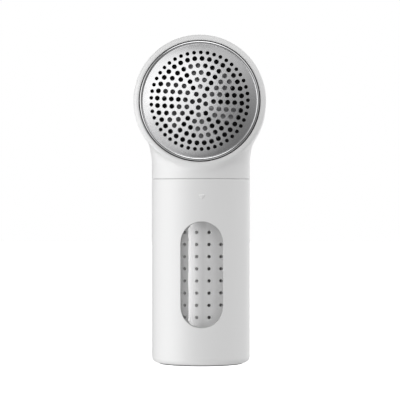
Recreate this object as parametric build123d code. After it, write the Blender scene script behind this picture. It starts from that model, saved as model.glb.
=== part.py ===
"""Cordless fabric shaver: a round cutting head on a cylindrical grip that is also the lint bin.

Frame, in millimetres: +Z is up the grip, the origin is the middle of the base face, and the
cutting head looks along -Y. The head's own axis runs along Y at the height HEAD_Z.
"""

import math
import os

from build123d import *

# ---------------------------------------------------------------- driving dimensions
BODY_R = 26.0  # grip and neck, outside
WALL = 2.2  # grip wall
HEAD_R = 34.4  # drum of the head, outside
HEAD_Z = 137.8  # height of the head's axis
HEAD_WALL = 2.0
HEAD_FRONT = -27.6  # plane of the head's front lip
HEAD_BACK = 29.1
LIP_ROUND = 2.8  # rounding of the front lip
BACK_ROUND = 12.0  # rounding of the head's back edge
FLARE_R = 34.0  # concave sweep from the neck up to the drum, seen from the front
SEAM_Z = 97.5  # parting line between the head and the lint bin
SEAM_GAP = 0.25
SPLIT_Y = 10.0  # parting plane between the front housing and the rear cover
FIT = 0.1  # gap round a piece that is assembled by hand
SLIP = 0.3  # gap round a piece that pulls off
PAST = 1.0  # how far a cutting shape runs past the face that it cuts
FAR = 40.0  # beyond any face of the head, from its middle
TALL = 200.0  # higher than the whole shaver

# screws: shank radius, head radius, head height, length
SCREW_CHAMBER = (0.85, 1.8, 1.0, 7.0)
SCREW_HOUSING = (0.9, 1.7, 1.2, 7.0)  # its length is counted from the parting plane
SCREW_MOTOR = (0.75, 1.7, 1.0, 3.4)
SCREW_COUPLER = (0.75, 1.8, 1.2, 8.0)
SCREW_BASE = (0.45, 0.85, 0.3, 2.0)
RECESS_W = 0.5
RECESS_DEPTH = 0.5
RECESS_SPAN = 1.3  # length of the cross recess over the head's radius

# inside the head housing
INNER_ROUND = 0.8
LIP_DEPTH = 4.0
NECK_RISES = (-3.0, 2.0, 6.0, 10.0, 13.5, 16.5)  # heights of the neck's sections over the start of the sweep
NECK_TAPER = 0.02
BOSS_INSET = 0.5
BOWL_CLEAR = 0.2
CHAMBER_BOSS_LENGTH = 9.0
CHAMBER_PILOT_R = 0.9
CHAMBER_PILOT_DEPTH = 7.5
HOUSING_SEAT = 3.0  # seat of the long screws behind the chamber's flange
HOUSING_CLEAR_R = 1.15
HOUSING_PILOT_R = 0.95
HOUSING_PILOT_DEPTH = 8.0
POST_R = 2.4
POST_TOP = 12.0
POST_RIB_HALF = 1.0
POST_PILOT_R = 0.8
POST_PILOT_DEPTH = 9.0
REAR_CUT_Y = (20.0, 40.0)
USB_CLEAR = 0.4

# lint bin
BASE_Z = 0.5  # underside of the grip shell; the rubber foot reaches 0
BASE_ROUND = 3.2
FLOOR_T = 2.4
BASE_OPEN_R = 16.5
BASE_SCREW_RING_R = 17.55
BASE_SCREW_ANGLES = (90, 210, 330)
BASE_PILOT_R = 0.5
PLATE_R = 18.6
PLATE_T = 1.2
VENT_W = 1.6
VENT_LENGTH = 5.0
VENT_RINGS = ((6.5, 4), (10.5, 6), (14.3, 8))  # radius of each ring of slots and how many it has
FOOT_R = (20.2, 22.2)
FOOT_DEEP = 0.5
WINDOW_W = 22.1
WINDOW_H = 55.4
WINDOW_Z = 47.7
LENS_LIP = 1.8  # how far the lens's hidden flange reaches past the window
LENS_FLANGE_T = 1.2
LENS_SINK = 0.05
ARROW_Z = 88.0
ARROW_W = 3.6
ARROW_H = 2.6
ARROW_RISE = 0.15
BASKET_R = 20.5
BASKET_WALL = 1.2
BASKET_FLOOR_Z = 5.2
BASKET_FLOOR_T = 1.4
BASKET_FOOT_R = 2.0
BASKET_FOOT_RING_R = 18.0
BASKET_FOOT_ANGLES = (30, 150, 270)
BASKET_TOP_Z = 94.5
PORE_R = 0.65
PORE_COLUMNS = 20
PORE_ROWS = 10
PORE_PITCH = 6.33
PORE_PHASE = -7.0  # degrees from straight ahead
PORE_MID_Z = 47.5
PORE_DEEP = 6.0

# foil cap
LIP_OPEN_R = 31.4
RING_R = (29.5, 31.1)
RING_FRONT = -28.5
RING_BACK = -25.0
RING_SECTION = ((0.0, 0.25), (0.35, 0.0), (0.8, 0.05), (1.4, 0.42), (1.6, 1.1))  # out from bore, back from front
FOIL_EDGE_Y = -27.5
FOIL_RISE = 2.5  # crown of the foil over its edge
FOIL_DOME_R = 29.2
FOIL_T = 0.4
FOIL_RIM_R = 30.2
FOIL_PITCH = 3.64
FOIL_RINGS = (1, 5, 12, 18, 24, 30, 36, 45)  # holes in each ring, from the middle out
FOIL_LAST_RING_R = 25.0
FOIL_HOLE_R = 1.06
FOIL_SMALL_HOLE_R = 0.8
FOIL_PHASE = 176.5
FOIL_FIRST_RING_PHASE = 44.0
FOIL_LAP = 0.9  # overlap of the dome and its flat rim
FOIL_PIN = (-5.0, 2.0)  # reach of the cutting pins from the rim
CARRIER_R = (26.9, 30.2)
CARRIER_BACK = -24.2
TAB_ANGLES = (0, 180, 270)
TAB_W = 6.0
TAB_R = (28.6, 30.1)
TAB_BACK = -20.9
TAB_REACH = (20.0, 40.0)

# cutter
BLADES = 6
BLADE_TIP_R = 21.4
BLADE_ROOT_R = 4.0
BLADE_W = 7.0
BLADE_T = 0.5
BLADE_PITCH = 16.0
BLADE_GAP_TO_FOIL = 0.35
BLADE_PHASE = 116.0
HUB_R = 6.4
HUB_FRONT = -27.0
HUB_BACK = -20.6
HUB_SKIRT = 2.2  # from the hub's front to its wide part
CORE_R = 5.0
CORE_PROUD = 1.2
STAR_LAP = 0.6  # how far the star plate reaches past the hub
STAR_BACK = (1.4, 2.2)  # the star plate's faces behind the hub's front
ARM_PROUD = 0.15
TIP_GRIND = 0.2
SPRING_SEAT = 3.4  # depth of the spring's seat in the hub
SPRING_CLEAR = 0.5
SOCKET_SIDE = 4.4
SOCKET_DEEP = 3.2
SOCKET_MID = 4.9
DOG_SIDE = 4.2
DOG_T = 2.0
DOG_MID = 4.4
DOG_NECK_R = 2.1
DOG_FLANGE_R = 4.6
DOG_FLANGE = (0.4, 2.2)
SHAFT_R = 1.0
SHAFT_FIT = 0.05
SHAFT_FRONT = -24.4
SPRING_R = 2.9
SPRING_WIRE_R = 0.3
SPRING_TURNS = 3.5
SPRING_END_GAP = 0.02

# cutter chamber and motor
BOWL_R = 26.2
BOWL_WALL = 1.3
FLANGE_R = 32.2
FLANGE_FRONT = -24.0
FLANGE_T = 2.2
BOWL_BACK = -13.0
BOWL_FLOOR_T = 2.0
BOSS_RING_R = 29.5
BOSS_R = 3.1
CHAMBER_SCREW_ANGLES = (45, 135, 225, 315)
HOUSING_SCREW_ANGLES = (20, 67, 113, 160)
CHUTE_X = 9.0
CHUTE_Y = (-19.4, -13.0)
CHUTE_WALL = 1.2
CHUTE_BOTTOM = 99.8
CHUTE_TOP = HEAD_Z - 20.0
SCREW_CLEAR_R = 1.1
SCREW_SEAT_R = 2.0
SCREW_SEAT_DEEP = 1.2
MOTOR_R = 11.9
MOTOR_BACK = 12.2
MOTOR_WALL = 0.8
MOTOR_BOSS_R = 3.0
MOTOR_SCREW_X = 8.0
CAP_BACK = 14.6
TERMINAL_X = 4.0
TERMINAL_Z = HEAD_Z - 9.2
TERMINAL_W = 2.0
TERMINAL_T = 0.5
TERMINAL_PROUD = 1.4
TERMINAL_SLOT = 0.2
MOTOR_FACE_T = 1.0
MOTOR_BOSS_PROUD = 1.4
MOTOR_HOLE_R = 0.8
MAGNET_T = 2.1
MAGNET_GAP = 0.05
MAGNET_Y = (-8.0, 9.0)
MAGNET_X = (4.0, 14.0)
CORE_IRON_R = 8.2
CORE_IRON_Y = (-6.5, 6.0)
CORE_SLOT_X = (4.0, 9.0)
CORE_SLOT_HALF = 0.8
CORE_SLOT_ANGLES = (30, 150, 270)
WINDING_R = 6.0
WINDING_Y = (-8.5, 7.8)
COMMUTATOR_R = 2.4
COMMUTATOR_BACK = 11.2
CAP_STEP = 0.6
CAP_BEARING_R = 3.2
CAP_LIP = 1.5
CAP_BORE_R = 8.0
CAP_FLOOR_T = 0.3
SHAFT_END = 0.5
FELT_W = 2.2
FELT_T = 0.8

# coupler at the foot of the head
COUPLER_PLATE_T = 2.0
SPIGOT_R = (21.4, 23.5)
SPIGOT_BOTTOM = 89.5
SEAL_Z = 93.0
SEAL_R = 0.5
SEAL_GROOVE = 0.8
SEAL_PLAY = 0.1
SPIGOT_CHAMFER = 0.6
COUPLER_CLEAR_R = 1.0
COUPLER_CUT = 5.0
COUPLER_SCREWS = ((17.5, 7.0), (-17.5, 7.0), (17.5, -7.0), (-17.5, -7.0))

# electronics in the rear
BOARD_X = 10.0
BOARD_Y = (18.4, 20.0)
BOARD_Z = (HEAD_Z - 38.0, HEAD_Z - 11.0)
CHIPS = ((-5.5, -22.0, 4.0, 4.0), (4.0, -23.0, 3.0, 5.0), (0.0, -30.5, 5.0, 3.0), (6.5, -31.0, 2.0, 2.0))
CHIP_T = 0.9
CELL_SIZE = (34.0, 6.8, 28.0)
CELL_MID = (0.0, 21.0, HEAD_Z + 6.0)
CELL_ROUND = 2.2
TRAY_WALL = 1.0
TRAY_NOTCH = (12.0, 30.0, 6.0)
TRAY_NOTCH_Z = HEAD_Z - 9.0
BUTTON_Z = HEAD_Z - 15.0
BUTTON_R = 6.3
BUTTON_PROUD = 0.9
BUTTON_FLANGE_R = 7.4
BUTTON_FLANGE_T = 1.0
BUTTON_ROUND = 0.7
BUTTON_DISH_R = 18.0
BUTTON_DISH_DEPTH = 0.4
BUTTON_STEM_R = 1.5
BUTTON_STEM_GAP = 3.4
SWITCH_SIDE = 6.0
SWITCH_T = 2.0
PLUNGER_R = 1.6
PLUNGER_T = 0.6
LED_Z = HEAD_Z - 25.0
LED_R = 0.9
LED_SINK = 0.3
USB_Z = HEAD_Z - 34.0
USB_W = 9.0
USB_H = 3.3
USB_BACK = 25.3
USB_WALL = 0.35
USB_FLOOR_T = 1.0
USB_ROUND = USB_H / 2 - 0.05
USB_TONGUE = (6.4, 3.6, 0.7)
USB_TONGUE_Y = USB_BACK - 2.6
LEAD_R = 0.55
LEAD_GAP = 0.7  # from the board's face to the end of a lead
MOTOR_LEAD_Y = 15.4
MOTOR_LEAD_BEND = 2.0
MOTOR_LEAD_DROPS = (9.5, 14.1, 17.1)  # below the head's axis
BATTERY_LEAD_X = 1.5
BATTERY_LEAD_Y = (18.7, 17.0)
BATTERY_LEAD_BEND = 1.4
BATTERY_LEAD_DROPS = (0.4, 3.4, 6.5)  # below the cell
INTERLOCK_R = 29.4  # distance of the pin from the head's axis
PIN_R = 0.9
PIN_BACK = -19.6
SWITCH_BOX = ((-4.0, 4.0), (-19.4, -14.0), (HEAD_Z + 27.6, HEAD_Z + 31.9))


# ---------------------------------------------------------------- helpers
def rod_z(radius, low, high, x=0.0, y=0.0):
    """A cylinder along Z from low to high."""
    return Pos(x, y, (low + high) / 2) * Cylinder(radius, high - low)


def rod_y(radius, low, high, x=0.0, z=HEAD_Z):
    """A cylinder along Y from low to high."""
    return Pos(x, (low + high) / 2, z) * Rot(90, 0, 0) * Cylinder(radius, high - low)


def block(x, y, z):
    """A box from its (low, high) pairs."""
    mid = [(low + high) / 2 for low, high in (x, y, z)]
    return Pos(*mid) * Box(x[1] - x[0], y[1] - y[0], z[1] - z[0])


def spun_y(*edges):
    """Edges of a closed outline with x as the radius and y along the head's axis, spun round that axis."""
    return Pos(0, 0, HEAD_Z) * revolve(make_face(Curve() + list(edges)), Axis.Y)


def at_angle(shape, degrees):
    """Turns a shape that sits at angle 0, which is +X, round the head's axis; 90 is up."""
    return Pos(0, 0, HEAD_Z) * Rot(0, -degrees, 0) * Pos(0, 0, -HEAD_Z) * shape


def on_ring(radius, degrees):
    """x and z of a point round the head's axis."""
    return radius * math.cos(math.radians(degrees)), HEAD_Z + radius * math.sin(math.radians(degrees))


def stadium(width, height, mid_z, low_y, high_y):
    """A slot shape with round ends, standing upright and running along Y."""
    outline = Plane.XZ * SlotOverall(height, width, rotation=90)
    return Pos(0, high_y, mid_z) * extrude(outline, high_y - low_y)


def screw(radius, head_radius, head_t, length):
    """A pan-head screw along -Z with its head's underside at 0."""
    span = head_radius * RECESS_SPAN
    recess = Box(span, RECESS_W, 2 * RECESS_DEPTH) + Box(RECESS_W, span, 2 * RECESS_DEPTH)
    head = rod_z(head_radius, 0, head_t) - Pos(0, 0, head_t) * recess
    return head + rod_z(radius, -length, 0)


# ---------------------------------------------------------------- head housing
def drum(inset, back_round, lip_round):
    """The head's round drum, shrunk by inset on every side."""
    radius = HEAD_R - inset
    front = HEAD_FRONT + inset
    back = HEAD_BACK - inset
    return spun_y(
        Line((0, front), (radius - lip_round, front)),
        CenterArc((radius - lip_round, front + lip_round), lip_round, -90, 90),
        Line((radius, front + lip_round), (radius, back - back_round)),
        CenterArc((radius - back_round, back - back_round), back_round, 0, 90),
        Line((radius - back_round, back), (0, back)),
        Line((0, back), (0, front)),
    )


FLARE_TOP_R = HEAD_R - 0.3  # the sweep just crosses the drum, which keeps a clean edge between them
FLARE_Z = HEAD_Z - math.sqrt((FLARE_TOP_R + FLARE_R) ** 2 - (BODY_R + FLARE_R) ** 2)


def neck_width(z):
    """Half the neck's width at height z: straight, then the concave sweep up to the drum."""
    rise = max(0.0, z - FLARE_Z)
    return BODY_R + FLARE_R - math.sqrt(FLARE_R**2 - rise**2)


def neck(inset, bottom):
    """The neck: a cylinder that swells sideways into the drum."""
    sections = []
    for rise in NECK_RISES:
        width = neck_width(FLARE_Z + rise) - inset
        depth = BODY_R - inset - NECK_TAPER * max(0.0, rise)
        sections.append((Pos(0, 0, FLARE_Z + rise) * Ellipse(width, depth)).face())
    return loft(sections) + rod_z(BODY_R - inset, bottom, FLARE_Z + NECK_RISES[0])


def housing():
    """Front housing and rear cover, cut from one hollow shape."""
    bottom = SEAM_Z + SEAM_GAP
    outer = drum(0, BACK_ROUND, LIP_ROUND) + neck(0, bottom)
    inner = drum(HEAD_WALL, BACK_ROUND - HEAD_WALL, INNER_ROUND) + neck(HEAD_WALL, bottom - PAST)
    shell = outer - inner - rod_y(LIP_OPEN_R, HEAD_FRONT - PAST, HEAD_FRONT + LIP_DEPTH)
    front = shell & block((-FAR, FAR), (-FAR, SPLIT_Y), (bottom - PAST, HEAD_Z + FAR))
    rear = shell & block((-FAR, FAR), (SPLIT_Y, FAR), (bottom - PAST, HEAD_Z + FAR))

    boss_front = FLANGE_FRONT + FLANGE_T
    room = drum(BOSS_INSET, BACK_ROUND, LIP_ROUND)
    room -= rod_y(BOWL_R + BOWL_WALL + BOWL_CLEAR, -FAR, BOWL_BACK + BOWL_FLOOR_T + SLIP)
    for angle in CHAMBER_SCREW_ANGLES:
        x, z = on_ring(BOSS_RING_R, angle)
        front += rod_y(BOSS_R, boss_front, boss_front + CHAMBER_BOSS_LENGTH, x, z) & room
        front -= rod_y(CHAMBER_PILOT_R, boss_front - PAST, boss_front + CHAMBER_PILOT_DEPTH, x, z)
    for angle in HOUSING_SCREW_ANGLES:
        x, z = on_ring(BOSS_RING_R, angle)
        front += rod_y(BOSS_R, boss_front + HOUSING_SEAT, SPLIT_Y, x, z) & room
        front -= rod_y(HOUSING_CLEAR_R, boss_front, SPLIT_Y + PAST, x, z)
        rear += rod_y(BOSS_R, SPLIT_Y, HEAD_BACK - PAST, x, z) & room
        rear -= rod_y(HOUSING_PILOT_R, SPLIT_Y - PAST, SPLIT_Y + HOUSING_PILOT_DEPTH, x, z)
    post_z = (bottom + COUPLER_PLATE_T, bottom + POST_TOP)
    for x, y in COUPLER_SCREWS:
        post = rod_z(POST_R, *post_z, x, y)
        wall_x = math.copysign(BODY_R, x)
        post += block(sorted((x, wall_x)), (y - POST_RIB_HALF, y + POST_RIB_HALF), post_z)
        front += post & rod_z(BODY_R - PAST, 0, TALL) & block((-FAR, FAR), (-FAR, SPLIT_Y), (0, TALL))
        front -= rod_z(POST_PILOT_R, bottom, bottom + POST_PILOT_DEPTH, x, y)
    rear -= rod_y(BUTTON_R + SLIP / 2, *REAR_CUT_Y, 0, BUTTON_Z)
    rear -= rod_y(LED_R + FIT / 2, *REAR_CUT_Y, 0, LED_Z)
    rear -= block((-(USB_W + USB_CLEAR) / 2, (USB_W + USB_CLEAR) / 2), REAR_CUT_Y,
                  (USB_Z - (USB_H + USB_CLEAR) / 2, USB_Z + (USB_H + USB_CLEAR) / 2))
    return front, rear


# ---------------------------------------------------------------- foil cap
def foil_sphere_radius():
    """Radius of the ball that the foil's front is part of."""
    return (FOIL_DOME_R**2 + FOIL_RISE**2) / (2 * FOIL_RISE)


def foil_ball(offset):
    """The ball of the foil's front, shrunk by offset."""
    radius = foil_sphere_radius()
    return Pos(0, FOIL_EDGE_Y - FOIL_RISE + radius, HEAD_Z) * Sphere(radius - offset)


def foil_holes():
    """Pins through every hole of the foil, in rings."""
    pins = []
    for ring, count in enumerate(FOIL_RINGS):
        last = ring == len(FOIL_RINGS) - 1
        radius = FOIL_LAST_RING_R if last else ring * FOIL_PITCH
        hole = FOIL_SMALL_HOLE_R if last else FOIL_HOLE_R
        phase = FOIL_FIRST_RING_PHASE if ring == 1 else FOIL_PHASE
        for k in range(count):
            x, z = on_ring(radius, phase + 360 * k / count)
            pins.append(rod_y(hole, FOIL_EDGE_Y + FOIL_PIN[0], FOIL_EDGE_Y + FOIL_PIN[1], x, z))
    return pins


def foil():
    """Perforated steel foil: a shallow dome on a flat rim."""
    dome = foil_ball(0) - foil_ball(FOIL_T)
    dome &= rod_y(FOIL_DOME_R, FOIL_EDGE_Y - FOIL_RISE - PAST, FOIL_EDGE_Y + FOIL_T)
    rim = rod_y(FOIL_RIM_R, FOIL_EDGE_Y, FOIL_EDGE_Y + FOIL_T)
    rim -= rod_y(FOIL_DOME_R - FOIL_LAP, FOIL_EDGE_Y - PAST, FOIL_EDGE_Y + PAST)
    return (dome + rim) - foil_holes()


def foil_ring():
    """Bright bezel that clamps the foil's rim: a rounded front and a skirt behind it."""
    inner, outer = RING_R
    skirt = FOIL_RIM_R + FIT / 2
    a, b, c, d, e = ((inner + out, RING_FRONT + back) for out, back in RING_SECTION)
    return spun_y(
        Line((inner, FOIL_EDGE_Y), a),
        ThreePointArc(a, b, c),
        ThreePointArc(c, d, e),
        Line(e, (outer, RING_BACK)),
        Line((outer, RING_BACK), (skirt, RING_BACK)),
        Line((skirt, RING_BACK), (skirt, FOIL_EDGE_Y)),
        Line((skirt, FOIL_EDGE_Y), (inner, FOIL_EDGE_Y)),
    )


def foil_carrier():
    """Plastic ring behind the foil, with three tabs that push into the chamber's flange."""
    inner, outer = CARRIER_R
    front = FOIL_EDGE_Y + FOIL_T
    ring = rod_y(outer, front, CARRIER_BACK) - rod_y(inner, front - PAST, CARRIER_BACK + PAST)
    ring -= foil_ball(FOIL_T) & rod_y(FOIL_DOME_R - FOIL_LAP, front - 2 * PAST, FOIL_EDGE_Y + PAST)
    for angle in TAB_ANGLES:
        tab = rod_y(TAB_R[1], CARRIER_BACK, TAB_BACK) - rod_y(TAB_R[0], CARRIER_BACK - PAST, TAB_BACK + PAST)
        tab &= at_angle(block(TAB_REACH, (-FAR, 0), (HEAD_Z - TAB_W / 2, HEAD_Z + TAB_W / 2)), angle)
        ring += tab
    return ring


# ---------------------------------------------------------------- cutter
def cutter_blades():
    """Six pitched steel blades on a star plate, ground to the foil's curve."""
    blades = []
    for k in range(BLADES):
        arm = block((BLADE_ROOT_R, BLADE_TIP_R), (-BLADE_T / 2, BLADE_T / 2), (-BLADE_W, 0.0))
        arm = Pos(0, HUB_FRONT - ARM_PROUD, HEAD_Z) * Rot(BLADE_PITCH, 0, 0) * arm
        blades.append(at_angle(arm, BLADE_PHASE + 360 * k / BLADES))
    star = rod_y(HUB_R + STAR_LAP, HUB_FRONT + STAR_BACK[0], HUB_FRONT + STAR_BACK[1])
    ground = star + blades
    ground &= foil_ball(FOIL_T + BLADE_GAP_TO_FOIL)
    ground &= rod_y(BLADE_TIP_R - TIP_GRIND, -FAR, 0)
    return ground - hub_core()


def hub_core():
    """The moulded core that the blade star sits on."""
    return rod_y(CORE_R, HUB_FRONT - CORE_PROUD, HUB_BACK)


def cutter_hub():
    """Plastic hub moulded through the blade star, with a blind socket for the drive dog behind it."""
    hub = hub_core() + rod_y(HUB_R, HUB_FRONT + HUB_SKIRT, HUB_BACK)
    hub -= rod_y(SPRING_R + SPRING_WIRE_R + SPRING_CLEAR, HUB_BACK - SPRING_SEAT, HUB_BACK + PAST)
    return hub - Pos(0, HUB_BACK - SOCKET_MID, HEAD_Z) * Box(SOCKET_SIDE, SOCKET_DEEP, SOCKET_SIDE)


def drive_dog():
    """Square driver pressed on the motor shaft; the hub floats on it."""
    near, far = DOG_FLANGE
    dog = Pos(0, HUB_BACK - DOG_MID, HEAD_Z) * Box(DOG_SIDE, DOG_T, DOG_SIDE)
    dog += rod_y(DOG_NECK_R, HUB_BACK - SPRING_SEAT, HUB_BACK + near)
    dog += rod_y(DOG_FLANGE_R, HUB_BACK + near, HUB_BACK + far)
    return dog - rod_y(SHAFT_R, SHAFT_FRONT, HUB_BACK + far + PAST)


def float_spring():
    """Small coil spring that presses the hub towards the foil."""
    low = HUB_BACK - SPRING_SEAT + SPRING_WIRE_R + SPRING_END_GAP
    high = HUB_BACK + DOG_FLANGE[0] - SPRING_WIRE_R - SPRING_END_GAP
    path = Helix((high - low) / SPRING_TURNS, high - low, SPRING_R)
    wire = sweep(Plane(path @ 0, z_dir=path % 0) * Circle(SPRING_WIRE_R), path)
    return Pos(0, high, HEAD_Z) * Rot(90, 0, 0) * wire


# ---------------------------------------------------------------- chamber
def cutter_chamber():
    """Bowl behind the cutter, with its flange, motor wall and the chute down to the bin."""
    front, back = FLANGE_FRONT, BOWL_BACK + BOWL_FLOOR_T
    cx, (cy0, cy1), cw = CHUTE_X, CHUTE_Y, CHUTE_WALL
    chamber = rod_y(BOWL_R + BOWL_WALL, front, back) + rod_y(FLANGE_R, front, front + FLANGE_T)
    chamber += block((-cx - cw, cx + cw), (cy0 - cw, cy1 + cw), (CHUTE_BOTTOM, CHUTE_TOP))
    chamber -= rod_y(BOWL_R, front - PAST, BOWL_BACK)
    chamber -= block((-cx, cx), (cy0, cy1), (CHUTE_BOTTOM - PAST, CHUTE_TOP))
    chamber -= rod_y(MOTOR_BOSS_R + FIT, BOWL_BACK - PAST, back + PAST)
    for side in (-1, 1):
        chamber -= rod_y(SCREW_CLEAR_R, BOWL_BACK - PAST, back + PAST, side * MOTOR_SCREW_X)
    for angle in CHAMBER_SCREW_ANGLES:
        x, z = on_ring(BOSS_RING_R, angle)
        chamber -= rod_y(SCREW_CLEAR_R, front - PAST, front + FLANGE_T + PAST, x, z)
        chamber -= rod_y(SCREW_SEAT_R, front - PAST, front + SCREW_SEAT_DEEP, x, z)
    half = TAB_W / 2 + SLIP
    for angle in TAB_ANGLES:
        slot = rod_y(TAB_R[1] + SLIP, -FAR, 0) - rod_y(TAB_R[0] - SLIP, -FAR, 0)
        slot &= at_angle(block(TAB_REACH, (front - PAST, front + FLANGE_T + PAST), (HEAD_Z - half, HEAD_Z + half)), angle)
        chamber -= slot
    return chamber - rod_y(PIN_R + FIT, front - PAST, front + FLANGE_T + PAST, 0, HEAD_Z + INTERLOCK_R)


def chamber_screws():
    """Four short screws that hold the chamber's flange to the front housing."""
    places = [on_ring(BOSS_RING_R, angle) for angle in CHAMBER_SCREW_ANGLES]
    seat = FLANGE_FRONT + SCREW_SEAT_DEEP
    return [Pos(x, seat, z) * Rot(90, 0, 0) * screw(*SCREW_CHAMBER) for x, z in places]


def housing_screws():
    """Four long screws that draw the rear cover onto the front housing."""
    places = [on_ring(BOSS_RING_R, angle) for angle in HOUSING_SCREW_ANGLES]
    seat = FLANGE_FRONT + FLANGE_T + HOUSING_SEAT
    *head, past_split = SCREW_HOUSING
    return [Pos(x, seat, z) * Rot(90, 0, 0) * screw(*head, SPLIT_Y - seat + past_split) for x, z in places]


# ---------------------------------------------------------------- motor
def motor_can():
    """Drawn steel can, open at the back, with the front bearing boss."""
    front = BOWL_BACK + BOWL_FLOOR_T
    can = rod_y(MOTOR_R, front, MOTOR_BACK) - rod_y(MOTOR_R - MOTOR_WALL, front + MOTOR_FACE_T, MOTOR_BACK + PAST)
    can += rod_y(MOTOR_BOSS_R, front - MOTOR_BOSS_PROUD, front)
    for side in (-1, 1):
        can -= rod_y(MOTOR_HOLE_R, front - PAST, front + 2 * PAST, side * MOTOR_SCREW_X)
    return can - rod_y(SHAFT_R + SHAFT_FIT, front - 2 * MOTOR_BOSS_PROUD, front + 2 * MOTOR_FACE_T)


def motor_screws():
    """Two screws from the bowl into the motor's face."""
    return [Pos(side * MOTOR_SCREW_X, BOWL_BACK, HEAD_Z) * Rot(90, 0, 0) * screw(*SCREW_MOTOR) for side in (-1, 1)]


def motor_magnets():
    """Two curved magnets inside the can."""
    outer = MOTOR_R - MOTOR_WALL - MAGNET_GAP
    low, high = MAGNET_Y
    tube = rod_y(outer, low, high) - rod_y(outer - MAGNET_T, low - PAST, high + PAST)
    near, far = MAGNET_X
    return [tube & block(x, (low - PAST, high + PAST), (HEAD_Z - far, HEAD_Z + far))
            for x in ((-far, -near), (near, far))]


def motor_armature():
    """Three-pole iron core with its windings' drum and the commutator."""
    low, high = CORE_IRON_Y
    core = rod_y(CORE_IRON_R, low, high)
    slot = block(CORE_SLOT_X, (low - PAST, high + PAST), (HEAD_Z - CORE_SLOT_HALF, HEAD_Z + CORE_SLOT_HALF))
    for angle in CORE_SLOT_ANGLES:
        core -= at_angle(slot, angle)
    core += rod_y(WINDING_R, *WINDING_Y) + rod_y(COMMUTATOR_R, WINDING_Y[1], COMMUTATOR_BACK)
    return core - rod_y(SHAFT_R, -FAR, FAR)


def motor_shaft():
    """Steel shaft from the rear bearing to the drive dog."""
    return rod_y(SHAFT_R, SHAFT_FRONT, CAP_BACK - SHAFT_END)


def motor_end_cap():
    """Plastic end cap that carries the rear bearing and the brush terminals."""
    rim = CAP_BACK - CAP_STEP
    cap = rod_y(MOTOR_R, MOTOR_BACK, rim) + rod_y(CAP_BEARING_R, rim, CAP_BACK)
    cap += rod_y(MOTOR_R - MOTOR_WALL - FIT, MOTOR_BACK - CAP_LIP, MOTOR_BACK)
    cap -= rod_y(CAP_BORE_R, MOTOR_BACK - 2 * CAP_LIP, MOTOR_BACK)
    cap -= rod_y(SHAFT_R + SHAFT_FIT, MOTOR_BACK - 2 * CAP_LIP, CAP_BACK - CAP_FLOOR_T)
    for side in (-1, 1):
        slot = Box(TERMINAL_W + TERMINAL_SLOT, 4 * CAP_LIP, TERMINAL_T + TERMINAL_SLOT)
        cap -= Pos(side * TERMINAL_X, CAP_BACK, TERMINAL_Z) * slot
    return cap


def motor_terminals():
    """Two brass tabs that stand out of the end cap."""
    length = CAP_BACK + TERMINAL_PROUD - MOTOR_BACK
    tab = Box(TERMINAL_W, length, TERMINAL_T)
    return [Pos(side * TERMINAL_X, MOTOR_BACK + length / 2, TERMINAL_Z) * tab for side in (-1, 1)]


def shaft_seal():
    """Felt washer that keeps lint out of the motor's bearing."""
    return rod_y(MOTOR_BOSS_R + FELT_W, BOWL_BACK - FELT_T, BOWL_BACK) - rod_y(SHAFT_R + FIT, -FAR, 0)


# ---------------------------------------------------------------- electronics
def control_board():
    """Circuit board standing behind the motor, with its small parts."""
    board = block((-BOARD_X, BOARD_X), BOARD_Y, BOARD_Z)
    for x, z, width, height in CHIPS:
        board += Pos(x, BOARD_Y[0] - CHIP_T / 2, HEAD_Z + z) * Box(width, CHIP_T, height)
    return board


def tact_switch():
    """Push switch under the power button."""
    back = BOARD_Y[1]
    body = Pos(0, back + SWITCH_T / 2, BUTTON_Z) * Box(SWITCH_SIDE, SWITCH_T, SWITCH_SIDE)
    return body + rod_y(PLUNGER_R, back + SWITCH_T, back + SWITCH_T + PLUNGER_T, 0, BUTTON_Z)


def usb_socket():
    """Charging socket: a rounded metal shell with its tongue."""
    length = USB_BACK - BOARD_Y[1]
    outer = extrude(Plane.XZ * RectangleRounded(USB_W, USB_H, USB_ROUND), length)
    bore = RectangleRounded(USB_W - 2 * USB_WALL, USB_H - 2 * USB_WALL, USB_ROUND - USB_WALL)
    socket = Pos(0, USB_BACK, USB_Z) * (outer - extrude(Plane.XZ * bore, length - USB_FLOOR_T))
    return socket + Pos(0, USB_TONGUE_Y, USB_Z) * Box(*USB_TONGUE)


def status_led():
    """Light pipe from the board to a dot under the button."""
    return rod_y(LED_R, BOARD_Y[1], HEAD_BACK - LED_SINK, 0, LED_Z)


def battery_cell():
    """Flat lithium cell."""
    cell = Pos(*CELL_MID) * Box(*CELL_SIZE)
    return fillet(cell.edges().filter_by(Axis.Z), CELL_ROUND)


def battery_tray():
    """Plastic tray that holds the cell against the rear cover."""
    width, depth, height = (size + 2 * FIT for size in CELL_SIZE)
    tray = Pos(*CELL_MID) * Box(width + 2 * TRAY_WALL, depth + 2 * TRAY_WALL, height + 2 * TRAY_WALL)
    tray -= Pos(CELL_MID[0], CELL_MID[1] - depth / 2, CELL_MID[2]) * Box(width, 2 * depth, height)
    tray -= Pos(0, CELL_MID[1], TRAY_NOTCH_Z) * Box(*TRAY_NOTCH)
    return tray & drum(HEAD_WALL + FIT, BACK_ROUND - HEAD_WALL, INNER_ROUND)


def lead(points, radius):
    """An insulated wire along straight runs with round bends."""
    path = FilletPolyline(*points, radius=radius)
    return sweep(Plane(path @ 0, z_dir=path % 0) * Circle(LEAD_R), path)


def motor_leads():
    """Two wires from the motor's tabs to the board."""
    places = (MOTOR_LEAD_Y, MOTOR_LEAD_Y, BOARD_Y[0] - LEAD_GAP)
    return [lead([(side * TERMINAL_X, y, HEAD_Z - drop) for y, drop in zip(places, MOTOR_LEAD_DROPS)],
                 MOTOR_LEAD_BEND) for side in (-1, 1)]


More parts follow.
